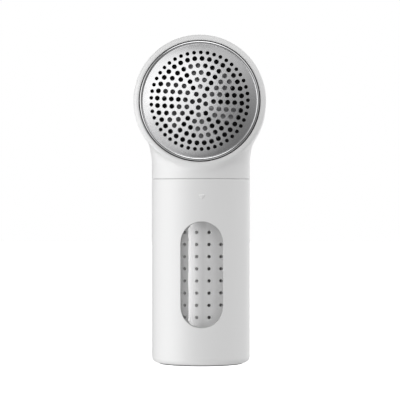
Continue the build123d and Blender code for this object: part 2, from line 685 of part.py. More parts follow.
def battery_leads():
    """Two wires from the cell's lower edge to the board."""
    top = CELL_MID[2] - CELL_SIZE[2] / 2
    places = (*BATTERY_LEAD_Y, BOARD_Y[0] - LEAD_GAP)
    return [lead([(side * BATTERY_LEAD_X, y, top - drop) for y, drop in zip(places, BATTERY_LEAD_DROPS)],
                 BATTERY_LEAD_BEND) for side in (-1, 1)]


def interlock_switch():
    """Micro switch that stops the motor when the foil cap is off."""
    return block(*SWITCH_BOX)


def interlock_pin():
    """Plunger that the foil cap holds down."""
    return rod_y(PIN_R, CARRIER_BACK, PIN_BACK, 0, HEAD_Z + INTERLOCK_R)


def power_button():
    """Round push button with a hidden flange and a stem over the switch."""
    inside = HEAD_BACK - HEAD_WALL - FIT
    top = HEAD_BACK + BUTTON_PROUD
    cap = rod_y(BUTTON_R, inside, top, 0, BUTTON_Z)
    cap = fillet(cap.edges().filter_by(GeomType.CIRCLE).sort_by(Axis.Y)[-1], BUTTON_ROUND)
    cap -= Pos(0, top + BUTTON_DISH_R - BUTTON_DISH_DEPTH, BUTTON_Z) * Sphere(BUTTON_DISH_R)
    cap += rod_y(BUTTON_FLANGE_R, inside - BUTTON_FLANGE_T, inside, 0, BUTTON_Z)
    return cap + rod_y(BUTTON_STEM_R, BOARD_Y[1] + BUTTON_STEM_GAP, inside - BUTTON_FLANGE_T / 2, 0, BUTTON_Z)


# ---------------------------------------------------------------- coupler
def bin_coupler():
    """Closing plate and spigot at the foot of the head, which the lint bin plugs onto."""
    bottom = SEAM_Z + SEAM_GAP
    inner, outer = SPIGOT_R
    plate = rod_z(BODY_R - HEAD_WALL - FIT, bottom, bottom + COUPLER_PLATE_T)
    spigot = rod_z(outer, SPIGOT_BOTTOM, bottom) - rod_z(inner, SPIGOT_BOTTOM - PAST, bottom)
    coupler = plate + spigot
    lower_edge = coupler.edges().filter_by(GeomType.CIRCLE).group_by(Axis.Z)[0].sort_by(SortBy.LENGTH)[-1]
    coupler = chamfer(lower_edge, SPIGOT_CHAMFER)
    groove_half = SEAL_R + SEAL_PLAY
    coupler -= rod_z(BODY_R, SEAL_Z - groove_half, SEAL_Z + groove_half) - rod_z(outer - SEAL_GROOVE, 0, TALL)
    coupler -= block((-CHUTE_X, CHUTE_X), CHUTE_Y, (bottom - PAST, bottom + COUPLER_CUT))
    for x, y in COUPLER_SCREWS:
        coupler -= rod_z(COUPLER_CLEAR_R, bottom - PAST, bottom + COUPLER_CUT, x, y)
    return coupler


def coupler_seal():
    """Round rubber ring in the spigot's groove."""
    return Pos(0, 0, SEAL_Z) * Torus(SPIGOT_R[1] - SEAL_GROOVE + SEAL_R, SEAL_R)


def coupler_screws():
    """Four screws that hold the coupler to the housing's posts."""
    seat = SEAM_Z + SEAM_GAP
    return [Pos(x, y, seat) * Rot(180, 0, 0) * screw(*SCREW_COUPLER) for x, y in COUPLER_SCREWS]


# ---------------------------------------------------------------- lint bin
def base_places():
    """x and y of the base plate's screws."""
    return [(BASE_SCREW_RING_R * math.cos(math.radians(angle)), BASE_SCREW_RING_R * math.sin(math.radians(angle)))
            for angle in BASE_SCREW_ANGLES]


def handle_sleeve():
    """Grip shell: a cup with the window, the arrow mark and a rounded foot."""
    inner = BODY_R - WALL
    floor_top = BASE_Z + FLOOR_T
    cup = rod_z(BODY_R, BASE_Z, SEAM_Z)
    cup = fillet(cup.edges().filter_by(GeomType.CIRCLE).sort_by(Axis.Z)[0], BASE_ROUND)
    cup -= rod_z(inner, floor_top, SEAM_Z + PAST)
    cup -= rod_z(BASE_OPEN_R, BASE_Z - PAST, floor_top + PAST)
    cup -= rod_z(PLATE_R + FIT, BASE_Z - PAST, BASE_Z + PLATE_T)
    cup -= rod_z(FOOT_R[1], BASE_Z - PAST, BASE_Z + FOOT_DEEP) - rod_z(FOOT_R[0], -PAST, floor_top)
    cup -= stadium(WINDOW_W, WINDOW_H, WINDOW_Z, -FAR, 0)
    arrow = Polygon((-ARROW_W / 2, ARROW_H / 2), (ARROW_W / 2, ARROW_H / 2), (0, -ARROW_H / 2), align=None)
    mark = Pos(0, 0, ARROW_Z) * extrude(Plane.XZ * arrow, FAR)
    cup += (mark & rod_z(BODY_R + ARROW_RISE, 0, TALL)) - rod_z(BODY_R - WALL / 2, 0, TALL)
    for x, y in base_places():
        cup -= rod_z(BASE_PILOT_R, 0, floor_top + PAST, x, y)
    return cup


def window_lens():
    """Clear window: fills the slot flush with the grip and is bonded by a flange inside."""
    inner = BODY_R - WALL
    bore = rod_z(inner - LENS_FLANGE_T, -PAST, SEAM_Z + PAST)
    pane = rod_z(BODY_R - LENS_SINK, 0, SEAM_Z) - bore
    plug = pane & stadium(WINDOW_W - FIT, WINDOW_H - FIT, WINDOW_Z, -FAR, 0)
    flange = rod_z(inner - FIT / 5, 0, SEAM_Z) - bore
    flange &= stadium(WINDOW_W + 2 * LENS_LIP, WINDOW_H + 2 * LENS_LIP, WINDOW_Z, -FAR, 0)
    return plug + flange


def basket_pores():
    """Radial pins for every pore of the basket."""
    pins = []
    for column in range(PORE_COLUMNS):
        angle = PORE_PHASE + 360 * column / PORE_COLUMNS
        for row in range(PORE_ROWS):
            z = PORE_MID_Z + (row - (PORE_ROWS - 1) / 2) * PORE_PITCH
            pin = Pos(0, -BASKET_R, z) * Rot(90, 0, 0) * Cylinder(PORE_R, PORE_DEEP)
            pins.append(Rot(0, 0, angle) * pin)
    return pins


def lint_basket():
    """Perforated white cup that holds the lint and lets the air through."""
    cup = rod_z(BASKET_R, BASKET_FLOOR_Z, BASKET_TOP_Z)
    cup -= rod_z(BASKET_R - BASKET_WALL, BASKET_FLOOR_Z + BASKET_FLOOR_T, BASKET_TOP_Z + PAST)
    feet = [rod_z(BASKET_FOOT_R, BASE_Z + FLOOR_T, BASKET_FLOOR_Z, BASKET_FOOT_RING_R * math.cos(math.radians(angle)),
                  BASKET_FOOT_RING_R * math.sin(math.radians(angle))) for angle in BASKET_FOOT_ANGLES]
    return (cup + feet) - basket_pores()


def base_plate():
    """Vented plate in the middle of the base, with rings of air slots."""
    plate = rod_z(PLATE_R, BASE_Z, BASE_Z + PLATE_T)
    vent = extrude(SlotOverall(VENT_LENGTH, VENT_W, rotation=90), 2 * PLATE_T, both=True)
    for radius, count in VENT_RINGS:
        for k in range(count):
            plate -= Rot(0, 0, 360 * k / count) * Pos(radius, 0, BASE_Z) * vent
    for x, y in base_places():
        plate -= rod_z(BASE_PILOT_R, 0, BASE_Z + 2 * PLATE_T, x, y)
    return plate


def base_screws():
    """Three small screws through the base plate."""
    return [Pos(x, y, BASE_Z) * Rot(180, 0, 0) * screw(*SCREW_BASE) for x, y in base_places()]


def foot_ring():
    """Rubber ring that the shaver stands on."""
    play = FIT / 5
    return rod_z(FOOT_R[1] - play, 0, BASE_Z + FOOT_DEEP) - rod_z(FOOT_R[0] + play, -PAST, BASE_Z + FLOOR_T)


# ---------------------------------------------------------------- write the parts
def main():
    """Builds every piece and writes one STEP file per node."""
    front, rear = housing()
    pieces = {
        "handle_sleeve": handle_sleeve(),
        "window_lens": window_lens(),
        "lint_basket": lint_basket(),
        "base_plate": base_plate(),
        "base_screws": base_screws(),
        "foot_ring": foot_ring(),
        "head_shell": front,
        "rear_cover": rear,
        "bin_coupler": bin_coupler(),
        "coupler_seal": coupler_seal(),
        "coupler_screws": coupler_screws(),
        "cutter_chamber": cutter_chamber(),
        "chamber_screws": chamber_screws(),
        "housing_screws": housing_screws(),
        "motor_can": motor_can(),
        "motor_screws": motor_screws(),
        "motor_magnets": motor_magnets(),
        "motor_end_cap": motor_end_cap(),
        "motor_terminals": motor_terminals(),
        "shaft_seal": shaft_seal(),
        "control_board": control_board(),
        "tact_switch": tact_switch(),
        "usb_socket": usb_socket(),
        "status_led": status_led(),
        "battery_cell": battery_cell(),
        "battery_tray": battery_tray(),
        "motor_leads": motor_leads(),
        "battery_leads": battery_leads(),
        "interlock_switch": interlock_switch(),
        "interlock_pin": interlock_pin(),
        "power_button": power_button(),
        "motor_armature": motor_armature(),
        "motor_shaft": motor_shaft(),
        "drive_dog": drive_dog(),
        "float_spring": float_spring(),
        "cutter_hub": cutter_hub(),
        "cutter_blades": cutter_blades(),
        "foil": foil(),
        "foil_ring": foil_ring(),
        "foil_carrier": foil_carrier(),
    }
    os.makedirs("parts", exist_ok=True)
    for name, shape in pieces.items():
        solids = shape if isinstance(shape, list) else [shape]
        solids = [solid for item in solids for solid in item.solids()]
        whole = solids[0] if len(solids) == 1 else Compound(children=solids)
        export_step(whole, f"parts/{name}.step")


main()
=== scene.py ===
"""Looks of the cordless fabric shaver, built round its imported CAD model.

Every piece is in metres, in the frame of the CAD model: +Z up the grip, the origin in the middle of
the base, and the perforated foil facing -Y. Angles round the grip start in front and grow towards
+X; angles round the head's axis start at +X and grow towards +Z.
"""

import logging
import math
from dataclasses import dataclass
from enum import Enum

import bmesh
import bpy
import numpy as np
from mathutils import Matrix, Vector
from mathutils.geometry import delaunay_2d_cdt


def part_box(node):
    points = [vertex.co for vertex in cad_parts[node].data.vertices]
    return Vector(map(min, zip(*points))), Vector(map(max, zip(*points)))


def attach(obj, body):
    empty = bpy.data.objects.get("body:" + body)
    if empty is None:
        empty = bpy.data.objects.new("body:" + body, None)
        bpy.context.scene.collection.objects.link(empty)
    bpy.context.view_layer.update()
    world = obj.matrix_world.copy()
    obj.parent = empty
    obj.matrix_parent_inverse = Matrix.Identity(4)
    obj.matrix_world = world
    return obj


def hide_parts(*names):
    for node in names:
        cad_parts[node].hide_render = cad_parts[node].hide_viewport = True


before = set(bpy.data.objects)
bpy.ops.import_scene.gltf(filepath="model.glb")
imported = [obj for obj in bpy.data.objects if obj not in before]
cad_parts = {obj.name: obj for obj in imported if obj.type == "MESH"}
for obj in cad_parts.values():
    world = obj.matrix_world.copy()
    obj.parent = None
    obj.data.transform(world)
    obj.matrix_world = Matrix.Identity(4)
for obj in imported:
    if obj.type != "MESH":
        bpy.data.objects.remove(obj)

LOG = logging.getLogger("fabric_shaver")
MM = 0.001
TINY = 1e-9
FULL_TURN = 2 * math.pi

Point = tuple[float, float, float]
Outline = list[tuple[float, float]]
Faces = list[list[int]]
Colour = tuple[float, float, float]


class Body(Enum):
    """The bodies that pieces ride on."""

    LINT_BIN = "lint_bin"
    HEAD = "head"
    FOIL_CAP = "foil_cap"
    CUTTER = "cutter"
    BUTTON = "button"


class Grain(Enum):
    """Kinds of fine relief on a finish, as (pattern size in mm, height in mm)."""

    SPARK = (0.16, 0.0035)
    FINE = (0.09, 0.0015)
    FELT = (0.35, 0.05)
    NONE = (1.0, 0.0)


# ---------------------------------------------------------------------------------- node trees
class Graph:
    """The node tree of a material or of the world, with short ways to add to it."""

    def __init__(self, owner: bpy.types.Material | bpy.types.World) -> None:
        """Opens the owner's node tree."""
        owner.use_nodes = True
        self.nodes, self.links = owner.node_tree.nodes, owner.node_tree.links

    def add(self, kind: str, values: dict | None = None, **options: str) -> bpy.types.Node:
        """Adds a node.

        Args:
            kind: its type, without the leading ShaderNode.
            values: what its inputs are set to, by the input's name or place.
            options: settings of the node itself.

        Returns:
            The new node.
        """
        node = self.nodes.new("ShaderNode" + kind)
        for option, choice in options.items():
            setattr(node, option, choice)
        for key, value in (values or {}).items():
            node.inputs[key].default_value = value
        return node

    def join(self, source: bpy.types.NodeSocket, target: bpy.types.NodeSocket) -> None:
        """Links an output to an input."""
        self.links.new(source, target)

    def compute(self, operation: str, first: bpy.types.NodeSocket,
                second: bpy.types.NodeSocket | float = 0.0) -> bpy.types.NodeSocket:
        """Adds a step of arithmetic.

        Args:
            operation: what it does.
            first: the output that goes in first.
            second: the output or number that goes in second, where it takes one.

        Returns:
            Its result.
        """
        step = self.add("Math", operation=operation)
        self.join(first, step.inputs[0])
        if isinstance(second, bpy.types.NodeSocket):
            self.join(second, step.inputs[1])
        else:
            step.inputs[1].default_value = second
        return step.outputs[0]


class SurfaceGraph(Graph):
    """The node tree of a material, with its shader and the coordinates that its patterns lie in."""

    def __init__(self, material: bpy.types.Material) -> None:
        """Opens the material's tree and finds its shader."""
        super().__init__(material)
        self.shader = self.nodes["Principled BSDF"]
        self.place = self.add("TexCoord").outputs["Object"]

    def set(self, **values: float) -> None:
        """Sets the shader's own inputs, named in small letters with _ for a space."""
        for key, value in values.items():
            self.shader.inputs[key.replace("_", " ").title()].default_value = value

    def noise(self, size_mm: float, detail: float = 3.0) -> bpy.types.NodeSocket:
        """Adds a noise pattern.

        Args:
            size_mm: size of its patches in mm.
            detail: how many octaves it has.

        Returns:
            The pattern, from 0 to 1.
        """
        noise = self.add("TexNoise", {"Scale": 1.0 / (size_mm * MM), "Detail": detail})
        self.join(self.place, noise.inputs["Vector"])
        return noise.outputs["Fac"]

    def bump(self, pattern: bpy.types.NodeSocket, depth: float) -> None:
        """Gives the surface a relief.

        Args:
            pattern: the relief's height, from 0 to 1.
            depth: its greatest height in metres.
        """
        bump = self.add("Bump", {"Distance": depth})
        self.join(pattern, bump.inputs["Height"])
        self.join(bump.outputs["Normal"], self.shader.inputs["Normal"])


# ---------------------------------------------------------------------------------- finishes
SMEAR_SCALE = 0.4
SMEAR_DETAIL = 4.0
GRAIN_DETAIL = 2.0


@dataclass(frozen=True)
class Finish:
    """A moulded, painted or metal finish.

    Args:
        name: the material's name.
        colour: base colour.
        roughness: mean roughness.
        metallic: 0 for plastics, 1 for metals.
        grain: the fine relief on the surface.
        mottle: how much the colour varies over the surface, as a share.
        mottle_size: size of the patches of colour, in mm.
        smear: how much the roughness varies over the surface.
        sheen: sheen weight, for felt.
        coat: clear coat weight.
    """

    name: str
    colour: Colour
    roughness: float
    metallic: float = 0.0
    grain: Grain = Grain.FINE
    mottle: float = 0.02
    mottle_size: float = 9.0
    smear: float = 0.04
    sheen: float = 0.0
    coat: float = 0.0

    def build(self) -> bpy.types.Material:
        """Makes the material.

        Returns:
            The finished material.
        """
        material = bpy.data.materials.new(self.name)
        graph = SurfaceGraph(material)
        graph.set(metallic=self.metallic, sheen_weight=self.sheen, coat_weight=self.coat)
        self.paint(graph)
        self.rub(graph)
        self.relieve(graph)
        self.extend(graph)
        return material

    def paint(self, graph: SurfaceGraph) -> None:
        """Varies the colour gently over the surface.

        Args:
            graph: the material's nodes.
        """
        dark = [channel * (1 - self.mottle) for channel in self.colour]
        light = [min(1.0, channel * (1 + self.mottle)) for channel in self.colour]
        mix = graph.add("Mix", {"A": (*dark, 1), "B": (*light, 1)}, data_type="RGBA")
        graph.join(graph.noise(self.mottle_size), mix.inputs["Factor"])
        graph.join(mix.outputs["Result"], graph.shader.inputs["Base Color"])

    def rub(self, graph: SurfaceGraph) -> None:
        """Varies the roughness gently over the surface, in smaller patches than the colour.

        Args:
            graph: the material's nodes.
        """
        low, high = max(0.0, self.roughness - self.smear), min(1.0, self.roughness + self.smear)
        rub = graph.add("MapRange", {"To Min": low, "To Max": high})
        graph.join(graph.noise(self.mottle_size * SMEAR_SCALE, SMEAR_DETAIL), rub.inputs["Value"])
        graph.join(rub.outputs["Result"], graph.shader.inputs["Roughness"])

    def relieve(self, graph: SurfaceGraph) -> None:
        """Adds the fine relief of the mould, the blasting or the weave.

        Args:
            graph: the material's nodes.
        """
        size, height = self.grain.value
        if height > 0:
            graph.bump(graph.noise(size, GRAIN_DETAIL), height * MM)

    def extend(self, graph: SurfaceGraph) -> None:
        """Adds what a special finish needs; a plain one needs nothing."""


@dataclass(frozen=True)
class SpunMetal(Finish):
    """Metal with a grain that runs in circles round the head's axis.

    Args:
        anisotropy: how strongly the grain stretches a highlight.
        ring_pitch: spacing of the turning marks in mm.
        ring_depth: depth of the turning marks in mm.
    """

    anisotropy: float = 0.6
    ring_pitch: float = 0.22
    ring_depth: float = 0.0006

    def extend(self, graph: SurfaceGraph) -> None:
        """Points the highlight across the grain and adds the turning marks.

        Args:
            graph: the material's nodes.
        """
        graph.set(anisotropic=self.anisotropy)
        tangent = graph.add("Tangent", direction_type="RADIAL", axis="Y")
        graph.join(tangent.outputs["Tangent"], graph.shader.inputs["Tangent"])
        centred = graph.add("Mapping", {"Location": (0, 0, -SIZES.head_z)})
        graph.join(graph.place, centred.inputs["Vector"])
        split = graph.add("SeparateXYZ")
        graph.join(centred.outputs["Vector"], split.inputs["Vector"])
        flat = graph.add("CombineXYZ")
        for axis in ("X", "Z"):
            graph.join(split.outputs[axis], flat.inputs[axis])
        reach = graph.add("VectorMath", operation="LENGTH")
        graph.join(flat.outputs["Vector"], reach.inputs[0])
        marks = graph.add("TexNoise", {"Scale": 1.0 / (self.ring_pitch * MM)}, noise_dimensions="1D")
        graph.join(reach.outputs["Value"], marks.inputs["W"])
        graph.bump(marks.outputs["Fac"], self.ring_depth * MM)


@dataclass(frozen=True)
class ClearPlastic(Finish):
    """Polished clear plastic.

    Args:
        ior: index of refraction.
        transmission: share of light that goes through.
    """

    ior: float = 1.49
    transmission: float = 1.0

    def extend(self, graph: SurfaceGraph) -> None:
        """Lets the light through."""
        graph.set(transmission_weight=self.transmission)
        graph.shader.inputs["IOR"].default_value = self.ior


SHELL = Finish("shell_white", (0.80, 0.80, 0.80), 0.42, grain=Grain.SPARK, mottle=0.006, smear=0.03)
BUTTON = Finish("button_white", (0.76, 0.76, 0.76), 0.36, grain=Grain.FINE, mottle=0.006, smear=0.03)
# The basket is white plastic like the shell, but its colour is set grey: painted shade for the dim inside
# of the bin.
BASKET_PAINTED_SHADE = Finish("basket_white", (0.54, 0.54, 0.54), 0.6, grain=Grain.SPARK, mottle=0.02, smear=0.05)
LENS = ClearPlastic("clear_window", (0.97, 0.97, 0.97), 0.02,
                    grain=Grain.NONE, mottle=0.003, smear=0.01)
FOIL = SpunMetal("foil_steel", (0.42, 0.42, 0.425), 0.27, 1.0, Grain.NONE, 0.02, 12.0, 0.03,
                 anisotropy=0.7)
BEZEL = SpunMetal("bezel_chrome", (0.44, 0.44, 0.445), 0.14, 1.0, Grain.NONE, 0.01, 12.0, 0.02,
                  anisotropy=0.2, ring_depth=0.0002)
BLADE = Finish("blade_steel", (0.32, 0.32, 0.33), 0.35, 1.0, Grain.FINE, 0.05, 2.0, 0.08)
DARK = Finish("dark_plastic", (0.018, 0.018, 0.02), 0.5, grain=Grain.SPARK, mottle=0.1)
HUB = Finish("hub_plastic", (0.05, 0.05, 0.055), 0.45, grain=Grain.FINE, mottle=0.1)
RUBBER = Finish("foot_rubber", (0.06, 0.06, 0.062), 0.8, grain=Grain.SPARK, mottle=0.12, smear=0.1)
MOTOR = Finish("motor_steel", (0.55, 0.55, 0.56), 0.28, 1.0, Grain.FINE, 0.06, 4.0, 0.08)
FERRITE = Finish("magnet_ferrite", (0.06, 0.06, 0.06), 0.7, 0.3, Grain.SPARK, 0.2, 1.0, 0.1)
COPPER = Finish("motor_copper", (0.62, 0.29, 0.14), 0.35, 1.0, Grain.SPARK, 0.12, 1.5, 0.08)
BRASS = Finish("terminal_brass", (0.75, 0.56, 0.26), 0.3, 1.0, Grain.FINE, 0.06, 2.0, 0.08)
FELT = Finish("felt_grey", (0.20, 0.20, 0.20), 0.95,
              grain=Grain.FELT, mottle=0.2, mottle_size=1.0, sheen=0.4)
BOARD = Finish("board_green", (0.02, 0.12, 0.06), 0.3,
               grain=Grain.FINE, mottle=0.15, mottle_size=1.4, coat=0.4)
CELL = Finish("cell_foil", (0.50, 0.51, 0.54), 0.38, 0.8, Grain.SPARK, 0.05, 5.0, 0.08)
RED_LEAD = Finish("lead_red", (0.42, 0.02, 0.015), 0.4, mottle=0.08, mottle_size=1.0)
BLACK_LEAD = Finish("lead_black", (0.015, 0.015, 0.015), 0.4, mottle=0.08, mottle_size=1.0)
SOCKET = Finish("socket_steel", (0.66, 0.66, 0.67), 0.2, 1.0, Grain.FINE, 0.04, 1.5, 0.06)
SCREW = Finish("screw_steel", (0.50, 0.50, 0.50), 0.3, 1.0, Grain.FINE, 0.08, 1.0, 0.08)
LIGHT_PIPE = ClearPlastic("light_pipe", (0.92, 0.94, 0.92), 0.35, mottle=0.01, transmission=0.6)
SWITCH = Finish("switch_black", (0.02, 0.02, 0.022), 0.5, grain=Grain.SPARK, mottle=0.1)


class Wardrobe:
    """Makes each finish once and puts it on pieces."""

    def __init__(self) -> None:
        """Starts with nothing made."""
        self.made: dict[str, bpy.types.Material] = {}

    def dress(self, piece: bpy.types.Object, finish: Finish) -> None:
        """Puts a finish on a piece, in place of any that it has.

        Args:
            piece: the mesh to dress.
            finish: what it is made of.
        """
        if finish.name not in self.made:
            self.made[finish.name] = finish.build()
        piece.data.materials.clear()
        piece.data.materials.append(self.made[finish.name])


WARDROBE = Wardrobe()


# ---------------------------------------------------------------------------------- sizes
@dataclass(frozen=True)
class Sizes:
    """Sizes that several pieces share, read from the CAD model's boxes."""

    grip_r: float
    base_z: float
    seam_z: float
    neck_z: float
    head_r: float
    head_z: float
    head_front: float
    head_back: float
    split_y: float

    @classmethod
    def from_frame(cls) -> "Sizes":
        """Reads the sizes.

        Returns:
            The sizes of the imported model.
        """
        sleeve_low, sleeve_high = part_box("handle_sleeve")
        shell_low, shell_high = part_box("head_shell")
        cover_low, cover_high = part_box("rear_cover")
        return cls(
            grip_r=sleeve_high.x,
            base_z=sleeve_low.z,
            seam_z=sleeve_high.z,
            neck_z=shell_low.z,
            head_r=shell_high.x,
            head_z=shell_high.z - shell_high.x,
            head_front=shell_low.y,
            head_back=cover_high.y,
            split_y=cover_low.y,
        )


SIZES = Sizes.from_frame()


# ---------------------------------------------------------------------------------- mesh tools
def make_piece(name: str, points: list[Point], faces: Faces) -> bpy.types.Object:
    """Makes a mesh piece.

    Args:
        name: the piece's name.
        points: its points, in metres.
        faces: its faces, as lists of indices.

    Returns:
        The new object, linked into the scene.
    """
    mesh = bpy.data.meshes.new(name)
    mesh.from_pydata([tuple(p) for p in points], [], faces)
    mesh.validate()
    piece = bpy.data.objects.new(name, mesh)
    bpy.context.scene.collection.objects.link(piece)
    return piece


def thicken(piece: bpy.types.Object, thickness: float) -> None:
    """Gives an open surface a thickness behind its face.

    Args:
        piece: the surface.
        thickness: how thick it gets, in metres.
    """
    modifier = piece.modifiers.new("wall", "SOLIDIFY")
    modifier.thickness = thickness
    modifier.offset = -1
    modifier.use_even_offset = True


def soften(piece: bpy.types.Object, width: float, angle: float = 40, segments: int = 3) -> None:
    """Rounds every edge sharper than an angle.

    Args:
        piece: the piece to round.
        width: width of the rounding in metres.
        angle: smallest angle that is rounded, in degrees.
        segments: facets across the rounding.
    """
    modifier = piece.modifiers.new("rounding", "BEVEL")
    modifier.width = width
    modifier.segments = segments
    modifier.limit_method = "ANGLE"
    modifier.angle_limit = math.radians(angle)
    modifier.use_clamp_overlap = True


def pierce(piece: bpy.types.Object, cutter: bpy.types.Object) -> None:
    """Cuts one mesh out of another and throws the cutter away.

    Args:
        piece: the piece that is cut.
        cutter: the closed shape that is taken out of it.
    """
    modifier = piece.modifiers.new("cut", "BOOLEAN")
    modifier.operation = "DIFFERENCE"
    modifier.solver = "EXACT"
    modifier.object = cutter
    settle(piece)
    bpy.data.objects.remove(cutter)


def settle(piece: bpy.types.Object, crease: float = 38) -> None:
    """Applies the piece's modifiers and shades it smooth but for its creases.

    Args:
        piece: the piece.
        crease: smallest angle that stays sharp, in degrees.
    """
    graph = bpy.context.evaluated_depsgraph_get()
    mesh = bpy.data.meshes.new_from_object(piece.evaluated_get(graph))
    piece.modifiers.clear()
    piece.data = mesh
    mesh.shade_smooth()
    mesh.set_sharp_from_angle(angle=math.radians(crease))


def merge(piece: bpy.types.Object, distance: float = 1e-6) -> None:
    """Joins points that lie in one place and drops faces with no area.

    Args:
        piece: the piece to clean.
        distance: how far apart two points may be to count as one, in metres.
    """
    work = bmesh.new()
    work.from_mesh(piece.data)
    bmesh.ops.remove_doubles(work, verts=work.verts, dist=distance)
    bmesh.ops.dissolve_degenerate(work, edges=work.edges, dist=distance * 0.1)
    work.to_mesh(piece.data)
    work.free()


def grid_faces(rows: int, columns: int, closed_rows: bool = False) -> Faces:
    """Quads of a grid that is closed along its columns.

    Args:
        rows: number of rings of points.
        columns: points in each ring.
        closed_rows: whether the last ring joins the first.

    Returns:
        The quads.
    """
    faces = []
    for j in range(rows if closed_rows else rows - 1):
        for i in range(columns):
            k, m = (i + 1) % columns, (j + 1) % rows
            faces.append([j * columns + i, j * columns + k, m * columns + k, m * columns + i])
    return faces


def arc(centre: tuple[float, float], radius: float, start: float, end: float, steps: int) -> Outline:
    """Points along an arc.

    Args:
        centre: its centre.
        radius: its radius.
        start: angle of its first point, in degrees.
        end: angle of its last point, in degrees.
        steps: number of stretches that it is divided into.

    Returns:
        Its points, both ends included.
    """
    angles = [math.radians(start + (end - start) * k / steps) for k in range(steps + 1)]
    return [(centre[0] + radius * math.cos(a), centre[1] + radius * math.sin(a)) for a in angles]


def spun_y(name: str, outline: Outline, segments: int = 256) -> bpy.types.Object:
    """A ring round the head's axis.

    Args:
        name: the piece's name.
        outline: closed outline as (radius, y), running anticlockwise with the radius to the right.
        segments: facets round the axis.

    Returns:
        The new piece.
    """
    points = []
    for radius, y in outline:
        for k in range(segments):
            angle = FULL_TURN * k / segments
            points.append((radius * math.cos(angle), y, SIZES.head_z + radius * math.sin(angle)))
    piece = make_piece(name, points, grid_faces(len(outline), segments, closed_rows=True))
    aim_outward(piece)
    return piece


def aim_outward(piece: bpy.types.Object) -> None:
    """Turns a piece's faces all the same way, and outward where it is closed.

    Args:
        piece: the piece.
    """
    work = bmesh.new()
    work.from_mesh(piece.data)
    bmesh.ops.recalc_face_normals(work, faces=work.faces)
    work.to_mesh(piece.data)
    work.free()


def face_forward(piece: bpy.types.Object) -> None:
    """Turns an open surface over if it faces back on the whole.

    Args:
        piece: the surface.
    """
    work = bmesh.new()
    work.from_mesh(piece.data)
    if sum(face.normal.y * face.calc_area() for face in work.faces) > 0:
        bmesh.ops.reverse_faces(work, faces=work.faces)
    work.to_mesh(piece.data)
    work.free()


def drop_loose(piece: bpy.types.Object) -> None:
    """Takes away the points that no face uses.

    Args:
        piece: the piece.
    """
    work = bmesh.new()
    work.from_mesh(piece.data)
    loose = [point for point in work.verts if not point.link_faces]
    bmesh.ops.delete(work, geom=loose, context="VERTS")
    work.to_mesh(piece.data)
    work.free()


def along_slot(radius: float, straight: float, share: float) -> tuple[float, float]:
    """A point on a slot's outline, which is a circle if the slot has no straight sides.

    Args:
        radius: radius of its round ends.
        straight: half the length of its straight sides.
        share: share of the way round, anticlockwise from the lowest point.

    Returns:
        Its (across, up) from the slot's middle.
    """
    quarter = math.pi * radius / 2
    left = share * (4 * quarter + 4 * straight)
    if left < quarter:
        angle = left / radius - math.pi / 2
        return radius * math.cos(angle), -straight + radius * math.sin(angle)
    left -= quarter
    if left < 2 * straight:
        return radius, -straight + left
    left -= 2 * straight
    if left < 2 * quarter:
        angle = left / radius
        return radius * math.cos(angle), straight + radius * math.sin(angle)
    left -= 2 * quarter
    if left < 2 * straight:
        return -radius, straight - left
    left -= 2 * straight
    angle = math.pi + left / radius
    return radius * math.cos(angle), -straight + radius * math.sin(angle)


@dataclass(frozen=True)
class Slot:
    """A slot or hole in a turned wall.

    Args:
        column: first grid column of the patch that holds it.
        row: first grid row of the patch.
        columns: width of the patch in cells, an even number.
        rows: height of the patch in cells.
        radius: radius of its round ends.
        straight: half the length of its straight sides.
    """

    column: int
    row: int
    columns: int
    rows: int
    radius: float
    straight: float

    def rim(self, count: int) -> list[tuple[int, int]]:
        """Grid places round the patch, anticlockwise from the middle of its lower side.

        Args:
            count: columns in the whole wall.

        Returns:
            (column, row) of each place.
        """
        low, high = self.column, self.column + self.columns
        base, top = self.row, self.row + self.rows
        middle = self.column + self.columns // 2
        places = [(i, base) for i in range(middle, high)]
        places += [(high, j) for j in range(base, top)]
        places += [(i, top) for i in range(high, low, -1)]
        places += [(low, j) for j in range(top, base, -1)]
        places += [(i, base) for i in range(low, middle)]
        return [(i % count, j) for i, j in places]


RING_SHARES = (0.0, 0.05, 0.14, 0.28, 0.48, 0.72)


